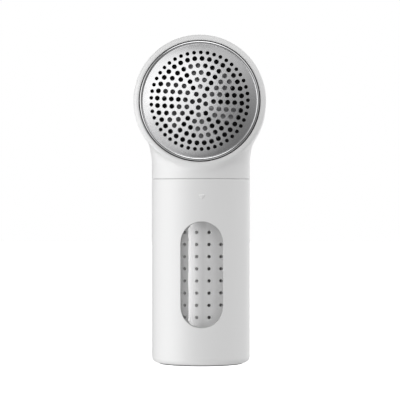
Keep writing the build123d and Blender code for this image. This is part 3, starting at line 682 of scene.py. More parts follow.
@dataclass
class TurnedWall:
    """A surface turned round Z, with slots in its straight stretch.

    Args:
        profile: (radius, z) from the lowest point up.
        angles: angle of each column of points.
        slots: the slots in it.
    """

    profile: Outline
    angles: list[float]
    slots: list[Slot]

    def point(self, radius: float, angle: float, z: float) -> Point:
        """The place at a radius, an angle from the front and a height."""
        return radius * math.sin(angle), -radius * math.cos(angle), z

    def middle(self, slot: Slot) -> tuple[float, float]:
        """Angle and height of a slot's middle.

        Args:
            slot: the slot.

        Returns:
            The angle and the height.
        """
        count = len(self.angles)
        left, right = self.angles[slot.column % count], self.angles[(slot.column + slot.columns) % count]
        if right < left:
            right += FULL_TURN
        return (left + right) / 2, (self.profile[slot.row][1] + self.profile[slot.row + slot.rows][1]) / 2

    def add_slot(self, slot: Slot, points: list[Point], faces: Faces) -> None:
        """Fills a patch with rings that lead from its rim to the slot's outline.

        Args:
            slot: the slot.
            points: the wall's points so far, which it adds to.
            faces: the wall's faces so far, which it adds to.
        """
        count = len(self.angles)
        radius = self.profile[slot.row][0]
        middle_angle, middle_z = self.middle(slot)
        rim = slot.rim(count)
        ring = [j * count + i for i, j in rim]
        flat = []
        for i, j in rim:
            turn = (self.angles[i] - middle_angle + math.pi) % FULL_TURN - math.pi
            flat.append((turn * radius, self.profile[j][1] - middle_z))
        for share in reversed(RING_SHARES):
            inner = list(range(len(points), len(points) + len(flat)))
            for k, (across, up) in enumerate(flat):
                hole = along_slot(slot.radius, slot.straight, k / len(flat))
                u = hole[0] + (across - hole[0]) * share
                v = hole[1] + (up - hole[1]) * share
                points.append(self.point(radius, middle_angle + u / radius, middle_z + v))
            for k in range(len(flat)):
                m = (k + 1) % len(flat)
                faces.append([inner[k], ring[k], ring[m], inner[m]])
            ring = inner

    def build(self, name: str) -> bpy.types.Object:
        """Makes the wall.

        Args:
            name: the piece's name.

        Returns:
            The new open surface, facing outward.
        """
        count = len(self.angles)
        points = [self.point(r, a, z) for r, z in self.profile for a in self.angles]
        taken = set()
        for slot in self.slots:
            for row in range(slot.row, slot.row + slot.rows):
                taken.update(((slot.column + i) % count, row) for i in range(slot.columns))
        faces = []
        for index, face in enumerate(grid_faces(len(self.profile), count)):
            if (index % count, index // count) not in taken:
                faces.append(face)
        for slot in self.slots:
            self.add_slot(slot, points, faces)
        return make_piece(name, points, faces)


def slot_plate(name: str, radius: float, straight: float, bend_r: float,
               middle_z: float) -> bpy.types.Object:
    """A slot-shaped sheet wrapped round the front of the grip.

    Args:
        name: the piece's name.
        radius: radius of its round ends.
        straight: half the length of its straight sides.
        bend_r: radius of the grip that it wraps.
        middle_z: height of its middle.

    Returns:
        The new open surface, facing forward.
    """
    ends, sides, rings = 32, 40, 12
    outline = []
    for k in range(ends):
        outline.append((math.cos(math.pi * k / ends), math.sin(math.pi * k / ends), straight))
    for k in range(sides):
        outline.append((-1.0, 0.0, straight * (1 - 2 * k / sides)))
    for k in range(ends):
        angle = math.pi + math.pi * k / ends
        outline.append((math.cos(angle), math.sin(angle), -straight))
    for k in range(sides):
        outline.append((1.0, 0.0, straight * (2 * k / sides - 1)))
    points = []
    for ring in range(rings + 1):
        reach = radius * ring / rings
        for cosine, sine, z in outline:
            angle = reach * cosine / bend_r
            height = middle_z + z + reach * sine
            points.append((bend_r * math.sin(angle), -bend_r * math.cos(angle), height))
    piece = make_piece(name, points, [face[::-1] for face in grid_faces(rings + 1, len(outline))])
    merge(piece)
    return piece


# ---------------------------------------------------------------------------------- lint bin
@dataclass
class LintBin:
    """The grip: shell, window, basket and arrow."""

    wall: float = 2.2 * MM
    columns: int = 164
    base_round: float = 3.2 * MM
    base_facets: int = 12
    base_rings_r: tuple[float, ...] = (18.7 * MM, 20.1 * MM, 22.3 * MM)
    window_r: float = 11.42 * MM
    window_straight: float = 16.28 * MM
    window_turn: float = math.radians(2.6)
    window_undercut: float = math.radians(3.2)
    window_z: float = 47.7 * MM
    window_gap: float = 0.06 * MM
    edge_round: float = 0.2 * MM
    lens_t: float = 1.7 * MM
    lens_inset: float = 0.06 * MM
    lens_round: float = 0.12 * MM
    cell: float = 1.0 * MM
    patch_half: tuple[int, int] = (16, 32)
    pore_r: float = 0.9 * MM
    pore_columns: int = 20
    pore_cells: int = 6
    pore_pitch: float = 6.33 * MM
    pore_phase: float = -4.8
    pore_mid_z: float = 47.5 * MM
    basket_wall: float = 0.8 * MM
    basket_round: float = 2.0 * MM
    basket_facets: int = 6
    basket_lip: float = 0.1 * MM
    floor_rise: float = 2.4 * MM
    floor_rings_r: tuple[float, ...] = (0.2 * MM, 4.0 * MM, 10.0 * MM, 15.0 * MM)
    arrow_z: float = 88.0 * MM
    arrow_w: float = 3.6 * MM
    arrow_h: float = 2.6 * MM
    arrow_rise: float = 0.45 * MM
    arrow_side: float = 0.05 * MM
    arrow_root: float = 0.3 * MM
    arrow_top: float = 0.7
    arrow_corner: float = 0.16
    arrow_corner_steps: int = 4
    arrow_turn: float = math.radians(2.3)

    def build(self) -> None:
        """Builds every piece of the lint bin that the CAD model shows too plainly."""
        self.build_sleeve()
        self.build_lens()
        self.build_basket()
        self.build_arrow()

    def sleeve_angles(self) -> list[float]:
        """Angles of the grip's columns: even across the window's patch, and even round the rest.

        Returns:
            The angles, from the patch's left side.
        """
        across = 2 * self.patch_half[0]
        patch = across * self.cell / SIZES.grip_r
        first, rest = self.window_turn - patch / 2, self.columns - across
        angles = [first + patch * k / across for k in range(across)]
        return angles + [first + patch + (FULL_TURN - patch) * k / rest for k in range(rest)]

    def build_sleeve(self) -> None:
        """The grip shell, with its window, rounded foot and soft edges."""
        radius, foot = SIZES.grip_r, SIZES.base_z
        half_columns, half_rows = self.patch_half
        corner = (radius - self.base_round, foot + self.base_round)
        profile = [(r, foot) for r in self.base_rings_r]
        profile += arc(corner, self.base_round, -90, 0, self.base_facets)
        low, high = self.window_z - half_rows * self.cell, self.window_z + half_rows * self.cell
        start = profile[-1][1]
        steps = round((low - start) / self.cell)
        profile += [(radius, start + (low - start) * k / steps) for k in range(1, steps + 1)]
        row = len(profile) - 1
        steps = 2 * half_rows
        profile += [(radius, low + (high - low) * k / steps) for k in range(1, steps + 1)]
        steps = round((SIZES.seam_z - high) / self.cell)
        profile += [(radius, high + (SIZES.seam_z - high) * k / steps) for k in range(1, steps + 1)]
        window = Slot(0, row, 2 * half_columns, 2 * half_rows, self.window_r, self.window_straight)
        sleeve = TurnedWall(profile, self.sleeve_angles(), [window]).build("grip_shell")
        thicken(sleeve, self.wall)
        soften(sleeve, self.edge_round)
        settle(sleeve)
        self.square_sides(sleeve)
        tie(sleeve, Body.LINT_BIN, SHELL, "handle_sleeve")

    def square_sides(self, piece: bpy.types.Object) -> None:
        """Slides the inner side round the grip, so that the window's sides don't close in behind its face.

        Args:
            piece: the grip shell or the pane in its window.
        """
        edge = self.window_r / SIZES.grip_r
        count = len(piece.data.vertices)
        flat = np.empty(3 * count)
        piece.data.vertices.foreach_get("co", flat)
        places = flat.reshape(count, 3)
        radius = np.hypot(places[:, 0], places[:, 1])
        angle = np.arctan2(places[:, 0], -places[:, 1])
        away = angle - self.window_turn
        depth = np.clip((SIZES.grip_r - radius) / self.wall, 0, 1)
        inside = np.sin(math.pi / 2 * np.clip(np.abs(away) / edge, 0, 1))
        fade = np.cos(math.pi / 2 * np.clip(np.abs(away) / edge - 1, 0, 1)) ** 2
        angle += np.sign(away) * inside * fade * depth * self.window_undercut
        places[:, 0] = radius * np.sin(angle)
        places[:, 1] = -radius * np.cos(angle)
        piece.data.vertices.foreach_set("co", places.ravel())
        piece.data.update()

    def build_lens(self) -> None:
        """The clear window, flush with the grip."""
        reach, bend_r = self.window_r - self.window_gap, SIZES.grip_r - self.lens_inset
        lens = slot_plate("window_pane", reach, self.window_straight, bend_r, self.window_z)
        thicken(lens, self.lens_t)
        soften(lens, self.lens_round)
        settle(lens)
        lens.data.transform(Matrix.Rotation(self.window_turn, 4, "Z"))
        self.square_sides(lens)
        tie(lens, Body.LINT_BIN, LENS, "window_lens")
        lens.visible_shadow = False
        lens.visible_diffuse = False

    def build_basket(self) -> None:
        """The perforated basket inside, with its rows of pores laid out from the window's middle."""
        low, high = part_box("lint_basket")
        radius, cells = high.x, self.pore_cells
        step = FULL_TURN / self.pore_columns
        first = math.radians(self.pore_phase) - step / 2
        angles = [first + step * k / cells for k in range(cells * self.pore_columns)]
        floor_z = low.z + self.floor_rise
        corner = (radius - self.basket_round, floor_z + self.basket_round)
        profile = [(r, floor_z) for r in self.floor_rings_r]
        profile += arc(corner, self.basket_round, -90, 0, self.basket_facets)
        base_z = profile[-1][1] + self.basket_lip
        start = base_z + (self.pore_mid_z - base_z) / self.pore_pitch % 1.0 * self.pore_pitch
        profile += [(radius, base_z), (radius, start)]
        base_row = len(profile) - 1
        rows = int((high.z - start) / self.pore_pitch)
        for row in range(rows):
            profile += [(radius, start + self.pore_pitch * (row + k / cells)) for k in range(1, cells + 1)]
        profile.append((radius, high.z))
        pores = []
        for column in range(self.pore_columns):
            for row in range(rows):
                pores.append(Slot(column * cells, base_row + row * cells, cells, cells, self.pore_r, 0.0))
        basket = TurnedWall(profile, angles, pores).build("lint_basket_wall")
        thicken(basket, self.basket_wall)
        settle(basket)
        tie(basket, Body.LINT_BIN, BASKET_PAINTED_SHADE, "lint_basket")

    def arrow_outline(self) -> Outline:
        """The arrow's outline: a triangle that points down, its corners rounded.

        Returns:
            Its points as (across, up) from its middle.
        """
        side, top = self.arrow_w / 2, self.arrow_h / 2
        corners = [(-side, top), (0.0, -top), (side, top)]
        outline = []
        for k, corner in enumerate(corners):
            before, after = corners[k - 1], corners[(k + 1) % len(corners)]
            a = [corner[i] + (before[i] - corner[i]) * self.arrow_corner for i in (0, 1)]
            b = [corner[i] + (after[i] - corner[i]) * self.arrow_corner for i in (0, 1)]
            for step in range(self.arrow_corner_steps + 1):
                t = step / self.arrow_corner_steps
                weights = ((1 - t) ** 2, 2 * t * (1 - t), t**2)
                outline.append(tuple(weights[0] * a[i] + weights[1] * corner[i] + weights[2] * b[i]
                                     for i in (0, 1)))
        return outline

    def build_arrow(self) -> None:
        """The small raised arrow that shows where the bin locks."""
        outline = self.arrow_outline()
        levels = ((1.0, -self.arrow_root), (1.0, self.arrow_side), (self.arrow_top, self.arrow_rise))
        points = []
        for scale, rise in levels:
            radius = SIZES.grip_r + rise
            for across, up in outline:
                angle = self.arrow_turn + across * scale / SIZES.grip_r
                height = self.arrow_z + up * scale
                points.append((radius * math.sin(angle), -radius * math.cos(angle), height))
        faces = grid_faces(len(levels), len(outline))
        faces.append(list(range(2 * len(outline), 3 * len(outline))))
        faces.append(list(range(len(outline)))[::-1])
        arrow = make_piece("lock_arrow", points, faces)
        aim_outward(arrow)
        settle(arrow)
        tie(arrow, Body.LINT_BIN, SHELL)


def tie(piece: bpy.types.Object, body: Body, finish: Finish, node: str | None = None) -> None:
    """Dresses a piece, makes it ride on a body and hides the CAD node that it stands for.

    Args:
        piece: the piece.
        body: the body that it moves with.
        finish: its finish.
        node: the CAD node that it stands for, if any.
    """
    WARDROBE.dress(piece, finish)
    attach(piece, body.value)
    if node:
        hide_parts(node)
    LOG.info("%s: %d faces on %s", piece.name, len(piece.data.polygons), body.value)


# ---------------------------------------------------------------------------------- head housing
@dataclass
class Housing:
    """The head's front housing and rear cover: a drum that flows into the round neck."""

    lip_round: float = 2.8 * MM
    back_round: float = 12.0 * MM
    mouth_r: float = 31.45 * MM
    mouth_edge: float = 0.35 * MM
    mouth_depth: float = 3.2 * MM
    flare_r: float = 34.0 * MM
    flare_inset: float = 0.35 * MM
    wall: float = 1.2 * MM
    gap: float = 0.15 * MM
    edge_round: float = 0.18 * MM
    side_blend: float = 0.9 * MM
    front_blend: float = 4.0 * MM
    back_blend: float = 9.0 * MM
    squareness: float = 1.1
    square_rise: float = 16.0 * MM
    neck_reach: float = 8.0 * MM
    neck_root: float = 3.0 * MM
    turns: int = 384
    lip_steps: int = 12
    lip_start: float = 2.0
    side_steps: int = 51
    back_steps: int = 22
    end_steps: int = 23
    end_r: float = 0.4 * MM
    shortest_ray: float = 5.0 * MM
    longest_ray: float = 90.0 * MM
    halvings: int = 42
    cut_merge: float = 20e-6
    drill_depth: float = 14.0 * MM
    drill_rise: float = 10.0 * MM
    hole_facets: int = 64
    hole_crease: float = 50.0
    button_z: float = -15.0 * MM
    button_hole_r: float = 6.45 * MM
    led_z: float = -25.0 * MM
    led_hole_r: float = 0.97 * MM
    port_z: float = -34.0 * MM
    port_size: tuple[float, float] = (9.4 * MM, 3.7 * MM)

    def drum(self, radius: np.ndarray, y: np.ndarray) -> np.ndarray:
        """Distance to the drum, below zero inside.

        Args:
            radius: distance from the head's axis.
            y: place along the axis.

        Returns:
            The distances.
        """
        rounding = np.where(y < 0, self.lip_round, self.back_round)
        reach = np.where(y < 0, -SIZES.head_front, SIZES.head_back)
        across = radius - (SIZES.head_r - rounding)
        along = np.abs(y) - (reach - rounding)
        outside = np.hypot(np.maximum(across, 0), np.maximum(along, 0))
        return outside + np.minimum(np.maximum(across, along), 0) - rounding

    def neck(self, x: np.ndarray, y: np.ndarray, z: np.ndarray) -> np.ndarray:
        """Distance to the neck, roughly, below zero inside.

        Args:
            x: places across.
            y: places along the head's axis.
            z: heights.

        Returns:
            The distances.
        """
        top_r = SIZES.head_r - self.flare_inset
        drop = math.sqrt((top_r + self.flare_r) ** 2 - (SIZES.grip_r + self.flare_r) ** 2)
        rise = np.clip(z - (SIZES.head_z - drop), 0, None)
        width = SIZES.grip_r + self.flare_r - np.sqrt(np.maximum(self.flare_r**2 - rise**2, TINY))
        circle = np.sqrt(np.maximum(top_r**2 - (z - SIZES.head_z) ** 2, TINY))
        beyond = rise > drop * self.flare_r / (top_r + self.flare_r)
        width = np.where(beyond, np.minimum(width, circle), width)
        power = 2 + self.squareness * np.clip(rise / self.square_rise, 0, 1)
        oval = (np.abs(x) / width) ** power + (np.abs(y) / SIZES.grip_r) ** power
        return (oval ** (1 / power) - 1) * SIZES.grip_r

    def distance(self, places: np.ndarray) -> np.ndarray:
        """Distance to the blended housing, below zero inside.

        Args:
            places: points as rows of x, y and z.

        Returns:
            The distances.
        """
        x, y, z = places[..., 0], places[..., 1], places[..., 2]
        drum = self.drum(np.hypot(x, z - SIZES.head_z), y)
        neck = np.maximum(self.neck(x, y, z), z - (SIZES.head_z - self.neck_reach))
        facing = (y / (np.hypot(x, y) + TINY)) ** 2
        wide = np.where(y < 0, self.front_blend, self.back_blend)
        blend = self.side_blend + (wide - self.side_blend) * facing
        near = np.maximum(blend - np.abs(drum - neck), 0) / blend
        body = np.minimum(drum, neck) - near * near * blend / 4
        body = np.maximum(body, y - SIZES.head_back)
        return np.maximum(body, (SIZES.neck_z - self.neck_root) - z)

    def bearings(self) -> list[float]:
        """Angles from straight ahead at which the skin is sampled, from the lip to the back.

        Returns:
            The angles.
        """
        inset = self.mouth_r + self.mouth_edge - (SIZES.head_r - self.lip_round)
        start = self.lip_start - math.degrees(math.acos(inset / self.lip_round))
        lip_corner = (SIZES.head_r - self.lip_round, SIZES.head_front + self.lip_round)
        path = arc(lip_corner, self.lip_round, start, 0, self.lip_steps)
        side_end = SIZES.head_back - self.back_round
        path += [(SIZES.head_r, y) for y in np.linspace(path[-1][1], side_end, self.side_steps + 1)[1:]]
        back_corner = (SIZES.head_r - self.back_round, side_end)
        path += arc(back_corner, self.back_round, 0, 90, self.back_steps)[1:]
        path += [(r, SIZES.head_back) for r in np.linspace(path[-1][0], self.end_r, self.end_steps + 1)[1:]]
        return [math.atan2(r, -y) for r, y in path]

    def skin(self) -> bpy.types.Object:
        """The whole outer skin as one surface, from inside the mouth to the middle of the back.

        Returns:
            The open surface.
        """
        bearings = np.array(self.bearings())[:, None]
        turns = np.array([FULL_TURN * k / self.turns for k in range(self.turns)])[None, :]
        aim = np.stack([np.sin(bearings) * np.cos(turns), -np.cos(bearings) + turns * 0,
                        np.sin(bearings) * np.sin(turns)], axis=-1)
        centre = np.array([0, 0, SIZES.head_z])
        near = np.full(aim.shape[:2], self.shortest_ray)
        far = np.full(aim.shape[:2], self.longest_ray)
        for _ in range(self.halvings):
            middle = (near + far) / 2
            outside = self.distance(centre + aim * middle[..., None]) > 0
            far = np.where(outside, middle, far)
            near = np.where(outside, near, middle)
        skin = (centre + aim * near[..., None]).reshape(-1, 3)
        mouth = [(self.mouth_r, SIZES.head_front + self.mouth_depth)]
        mouth.append((self.mouth_r, SIZES.head_front + self.mouth_edge * 1.5))
        edge = (self.mouth_r + self.mouth_edge, SIZES.head_front + self.mouth_edge)
        mouth += arc(edge, self.mouth_edge, 180, 270, 4)[:-1]
        points = []
        for radius, y in mouth:
            for turn in turns[0]:
                points.append((radius * math.cos(turn), y, SIZES.head_z + radius * math.sin(turn)))
        points += [tuple(p) for p in skin]
        rows = len(mouth) + len(bearings)
        faces = [face[::-1] for face in grid_faces(rows, self.turns)]
        faces.append([(rows - 1) * self.turns + k for k in range(self.turns)])
        return make_piece("head_skin", points, faces)

    def slice(self, skin: bpy.types.Object, name: str, keep_front: bool) -> bpy.types.Object:
        """Cuts one half of the skin out, above the neck's foot.

        Args:
            skin: the whole skin.
            name: the new piece's name.
            keep_front: whether the front or the back half is kept.

        Returns:
            The half as a new open surface.
        """
        work = bmesh.new()
        work.from_mesh(skin.data)
        cut_y = SIZES.split_y + (-self.gap if keep_front else self.gap)
        neck_cut = ((0, 0, SIZES.seam_z + self.gap), (0, 0, -1))
        split_cut = ((0, cut_y, 0), (0, 1 if keep_front else -1, 0))
        for place, out in (neck_cut, split_cut):
            geometry = work.verts[:] + work.edges[:] + work.faces[:]
            bmesh.ops.bisect_plane(work, geom=geometry, plane_co=place, plane_no=out, clear_outer=True)
        mesh = bpy.data.meshes.new(name)
        work.to_mesh(mesh)
        work.free()
        piece = bpy.data.objects.new(name, mesh)
        bpy.context.scene.collection.objects.link(piece)
        merge(piece, self.cut_merge)
        return piece

    def hole(self, outline: Outline) -> bpy.types.Object:
        """A cutter along Y through the back.

        Args:
            outline: the hole as (x, z), anticlockwise.

        Returns:
            The closed cutter.
        """
        count = len(outline)
        low, high = SIZES.head_back - self.drill_depth, SIZES.head_back + self.drill_rise
        points = [(x, y, z) for y in (low, high) for x, z in outline]
        faces = grid_faces(2, count) + [list(range(count)), list(range(count, 2 * count))[::-1]]
        cutter = make_piece("hole_cutter", points, faces)
        aim_outward(cutter)
        return cutter

    def round_hole(self, radius: float, z: float) -> bpy.types.Object:
        """A round cutter at a height from the head's axis."""
        circle = arc((0, 0), radius, 0, 360, self.hole_facets)[:-1]
        return self.hole([(x, SIZES.head_z + z + up) for x, up in circle])

    def port_hole(self) -> bpy.types.Object:
        """The cutter for the charging port: a lying slot.

        Returns:
            The closed cutter.
        """
        width, height = self.port_size
        radius, straight = height / 2, (width - height) / 2
        count = self.hole_facets
        outline = [along_slot(radius, straight, k / count) for k in range(count)]
        return self.hole([(-up, SIZES.head_z + self.port_z + across) for across, up in outline])

    def build(self) -> None:
        """Builds the front housing and the rear cover."""
        skin = self.skin()
        front = self.slice(skin, "head_housing", True)
        rear = self.slice(skin, "back_cover", False)
        bpy.data.objects.remove(skin)
        for piece in (front, rear):
            thicken(piece, self.wall)
            settle(piece)
        pierce(rear, self.round_hole(self.button_hole_r, self.button_z))
        pierce(rear, self.round_hole(self.led_hole_r, self.led_z))
        pierce(rear, self.port_hole())
        for piece, node in ((front, "head_shell"), (rear, "rear_cover")):
            soften(piece, self.edge_round, self.hole_crease)
            settle(piece)
            tie(piece, Body.HEAD, SHELL, node)


# ---------------------------------------------------------------------------------- foil cap
@dataclass
class FoilCap:
    """The perforated foil in its bright bezel."""

    edge_y: float = -27.5 * MM
    rise: float = 2.49 * MM
    dome_r: float = 29.5 * MM
    rim_r: float = 30.2 * MM
    fullness: float = 2.5
    thickness: float = 0.35 * MM
    ring_counts: tuple[int, ...] = (1, 5, 12, 18, 24, 30, 36, 45)
    pitch: float = 3.64 * MM
    last_ring_r: float = 25.0 * MM
    hole_r: float = 1.3 * MM
    small_hole_r: float = 1.01 * MM
    phase: float = 176.5
    first_ring_phase: float = 44.0
    hole_facets: int = 24
    border_rings_r: tuple[float, ...] = tuple(r * MM for r in (26.4, 27.2, 28.0, 28.6, 29.0, 29.2, 29.6))
    border_facets: int = 180
    join_tolerance: float = 1e-8
    inside_share: float = 0.999
    flat_normal: float = 0.8
    crease: float = 28.0
    bezel_in: float = 29.5 * MM
    bezel_out: float = 31.0 * MM
    bezel_play: float = 0.05 * MM
    roll_facets: int = 20
    bezel_crease: float = 50.0

    def front_y(self, radius: float) -> float:
        """Place of the foil's front at a distance from the head's axis: a dome, steepest near its edge."""
        return self.edge_y - self.rise * (1 - min(1.0, radius / self.dome_r) ** self.fullness)

    def facing(self, x: float, z: float) -> Vector:
        """The way that the foil's front faces.

        Args:
            x: the point's place across.
            z: its height from the head's axis.

        Returns:
            The unit vector out of the foil.
        """
        reach = math.hypot(x, z)
        if reach < TINY or reach >= self.dome_r:
            return Vector((0, -1, 0))
        slope = self.rise * self.fullness / self.dome_r * (reach / self.dome_r) ** (self.fullness - 1)
        return Vector((slope * x / reach, -1, slope * z / reach)).normalized()

    def holes(self) -> list[tuple[float, float, float]]:
        """Lays out the rings of holes.

        Returns:
            Every hole as (x, z, radius), with z from the head's axis.
        """
        holes = []
        for ring, count in enumerate(self.ring_counts):
            last = ring == len(self.ring_counts) - 1
            reach = self.last_ring_r if last else ring * self.pitch
            phase = self.first_ring_phase if ring == 1 else self.phase
            for k in range(count):
                angle = math.radians(phase + 360 * k / count)
                holes.append((reach * math.cos(angle), reach * math.sin(angle),
                              self.small_hole_r if last else self.hole_r))
        return holes

    def plan(self, holes: list[tuple[float, float, float]]) -> tuple[list[Vector], list[tuple[int, int]]]:
        """Draws the flat foil: its holes, a few points between them and the rings of its border.

        Args:
            holes: every hole as (x, z, radius).

        Returns:
            The points and the edges that the mesh has to keep.
        """
        flat, edges = [], []
        for x, z, radius in holes:
            for k in range(self.hole_facets):
                angle = FULL_TURN * k / self.hole_facets
                flat.append(Vector((x + radius * math.cos(angle), z + radius * math.sin(angle))))
            edges += self.closed_edges(len(flat), self.hole_facets)
        for ring in range(len(self.ring_counts) - 1):
            reach, count = (ring + 0.5) * self.pitch, max(5, 8 * ring + 4)
            for k in range(count):
                angle = FULL_TURN * (k + 0.25) / count
                x, z = reach * math.cos(angle), reach * math.sin(angle)
                if all(math.hypot(x - hx, z - hz) > hr + self.thickness / 2 for hx, hz, hr in holes):
                    flat.append(Vector((x, z)))
        count = self.border_facets
        for reach in (*self.border_rings_r, self.rim_r):
            for k in range(count):
                # Every other run of points lies half a step on, so that few line up from ring to ring.
                stagger = 0.5 * (len(flat) // count % 2)
                angle = FULL_TURN * (k + stagger) / count
                flat.append(Vector((reach * math.cos(angle), reach * math.sin(angle))))
            edges += self.closed_edges(len(flat), count)
        return flat, edges

    def closed_edges(self, end: int, count: int) -> list[tuple[int, int]]:
        """Edges that close the last points into a ring.

        Args:
            end: number of points so far.
            count: how many of them are in the ring.

        Returns:
            The edges.
        """
        first = end - count
        return [(first + k, first + (k + 1) % count) for k in range(count)]

    def build_foil(self) -> bpy.types.Object:
        """The foil, with a real hole for every perforation.

        Returns:
            The closed piece.
        """
        holes = self.holes()
        flat, edges = self.plan(holes)
        spread, _, faces, *_ = delaunay_2d_cdt(flat, edges, [], 0, self.join_tolerance)
        kept = []
        for face in faces:
            middle = sum((spread[i] for i in face), Vector((0, 0))) / len(face)
            if all(math.hypot(middle.x - x, middle.y - z) > r * self.inside_share for x, z, r in holes):
                kept.append(list(face))
        points = [(place.x, self.front_y(place.length), SIZES.head_z + place.y) for place in spread]
        foil = make_piece("foil_screen", points, kept)
        drop_loose(foil)
        aim_outward(foil)
        face_forward(foil)
        thicken(foil, self.thickness)
        foil.modifiers["wall"].use_even_offset = False
        settle(foil, self.crease)
        self.smooth_dome(foil.data)
        return foil

    def smooth_dome(self, mesh: bpy.types.Mesh) -> None:
        """Shades the front and the back of the foil as the true dome, whatever its triangles.

        Args:
            mesh: the foil's mesh.
        """
        normals = []
        for face in mesh.polygons:
            side = face.normal.y
            for index in face.vertices:
                place = mesh.vertices[index].co
                if abs(side) > self.flat_normal:
                    normals.append(self.facing(place.x, place.z - SIZES.head_z) * math.copysign(1, -side))
                else:
                    normals.append(face.normal.copy())
        mesh.normals_split_custom_set(normals)

    def build_bezel(self) -> bpy.types.Object:
        """The bright ring round the foil, with a rolled front.

        Returns:
            The closed piece.
        """
        low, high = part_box("foil_ring")
        front, back = low.y, high.y
        inner, outer = self.bezel_in, self.bezel_out
        roll = (outer - inner) / 2
        outline = [(inner, self.edge_y)]
        outline += arc((inner + roll, front + roll), roll, 180, 360, self.roll_facets)
        pocket = self.rim_r + self.bezel_play
        outline += [(outer, back), (pocket, back), (pocket, self.edge_y)]
        bezel = spun_y("foil_bezel", outline)
        settle(bezel, self.bezel_crease)
        return bezel

    def build(self) -> None:
        """Builds the foil and the bezel."""
        tie(self.build_foil(), Body.FOIL_CAP, FOIL, "foil")
        tie(self.build_bezel(), Body.FOIL_CAP, BEZEL, "foil_ring")


# ---------------------------------------------------------------------------------- cutter
@dataclass
class Cutter:
    """The star of swept blades behind the foil."""

    blades: int = 6
    root_r: float = 4.4 * MM
    tip_r: float = 21.0 * MM
    front_y: float = -26.6 * MM
    thickness: float = 0.6 * MM
    edge_round: float = 0.08 * MM
    pitch_drop: float = 1.5 * MM
    pitch_power: float = 1.3
    tip_drop: float = 0.5 * MM
    share: float = 0.72
    taper: float = 0.35
    sweep: float = 24.0
    sweep_power: float = 2.2
    phase: float = 125.0
    steps_out: int = 16
    steps_across: int = 8

    def blade_points(self, start: float) -> list[Point]:
        """Points of one blade's face.

        Args:
            start: angle of its root's first edge, in degrees.

        Returns:
            The points, in rows from the root to the tip.
        """
        points = []
        for j in range(self.steps_out + 1):
            reach = self.root_r + (self.tip_r - self.root_r) * j / self.steps_out
            out = reach / self.tip_r
            lean = self.sweep * out**self.sweep_power
            width = 360 / self.blades * self.share * (1 - self.taper * out**2)
            for i in range(self.steps_across + 1):
                across = i / self.steps_across
                angle = math.radians(start + lean + width * across)
                y = self.front_y + self.pitch_drop * across**self.pitch_power + self.tip_drop * out**2
                points.append((reach * math.cos(angle), y, SIZES.head_z + reach * math.sin(angle)))
        return points

    def build(self) -> None:
        """Builds the blade star."""
        points, faces = [], []
        row = self.steps_across + 1
        for blade in range(self.blades):
            first = len(points)
            points += self.blade_points(self.phase + 360 * blade / self.blades)
            for j in range(self.steps_out):
                for i in range(self.steps_across):
                    a = first + j * row + i
                    faces.append([a, a + 1, a + row + 1, a + row])
        star = make_piece("blade_star", points, faces)
        face_forward(star)
        thicken(star, self.thickness)
        soften(star, self.edge_round, segments=2)
        settle(star)
        tie(star, Body.CUTTER, BLADE, "cutter_blades")


# ---------------------------------------------------------------------------------- carried CAD nodes
CARRIED: dict[str, Finish] = {
    "base_plate": BASKET_PAINTED_SHADE,
    "base_screws": SCREW,
    "foot_ring": RUBBER,
    "bin_coupler": BASKET_PAINTED_SHADE,
    "coupler_seal": RUBBER,
    "coupler_screws": SCREW,
    "cutter_chamber": DARK,
    "chamber_screws": SCREW,
    "housing_screws": SCREW,
    "motor_can": MOTOR,
    "motor_screws": SCREW,
    "motor_magnets": FERRITE,
    "motor_end_cap": SWITCH,
    "motor_terminals": BRASS,
    "shaft_seal": FELT,
    "control_board": BOARD,
    "tact_switch": SWITCH,
    "usb_socket": SOCKET,
    "status_led": LIGHT_PIPE,
    "battery_cell": CELL,
    "battery_tray": DARK,
    "motor_leads": RED_LEAD,
    "battery_leads": BLACK_LEAD,
    "interlock_switch": SWITCH,
    "interlock_pin": BASKET_PAINTED_SHADE,
    "power_button": BUTTON,
    "motor_armature": COPPER,
    "motor_shaft": SCREW,
    "drive_dog": HUB,
    "float_spring": SCREW,
    "cutter_hub": HUB,
    "foil_carrier": DARK,
}


CARRIED_CREASE = math.radians(30)


def dress_carried() -> None:
    """Gives every CAD node that stays its finish and smooth shading."""
    for node, finish in CARRIED.items():
        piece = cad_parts[node]
        WARDROBE.dress(piece, finish)
        piece.data.shade_smooth()
        piece.data.set_sharp_from_angle(angle=CARRIED_CREASE)
        LOG.info("%s dressed as %s", node, finish.name)


# ---------------------------------------------------------------------------------- studio
def towards(bearing: float, height: float) -> Vector:
    """A direction away from the object.

    Args:
        bearing: direction round Z, in degrees from straight in front of the foil towards +X.
        height: height over the horizon in degrees.

    Returns:
        The unit vector.
    """
    turn, up = math.radians(bearing), math.radians(height)
    return Vector((math.sin(turn) * math.cos(up), -math.cos(turn) * math.cos(up), math.sin(up)))


@dataclass(frozen=True)
class Glow:
    """A soft patch of light in the surroundings.

    Args:
        bearing: its direction round Z, in degrees from straight in front of the foil towards +X.
        height: its height over the horizon in degrees.
        width: how far it spreads, in degrees.
        strength: how bright its middle is.
    """

    bearing: float
    height: float
    width: float
    strength: float

    def level(self, graph: Graph, place: bpy.types.NodeSocket) -> bpy.types.NodeSocket:
        """Adds the patch's brightness to the world's nodes.

        Args:
            graph: the world's nodes.
            place: the direction that is looked in.

        Returns:
            The brightness.
        """
        dot = graph.add("VectorMath", {1: towards(self.bearing, self.height)}, operation="DOT_PRODUCT")
        graph.join(place, dot.inputs[0])
        away = graph.compute("SUBTRACT", dot.outputs["Value"], 1.0)
        scaled = graph.compute("DIVIDE", away, 1 - math.cos(math.radians(self.width)))
        return graph.compute("MULTIPLY", graph.compute("EXPONENT", scaled), self.strength)


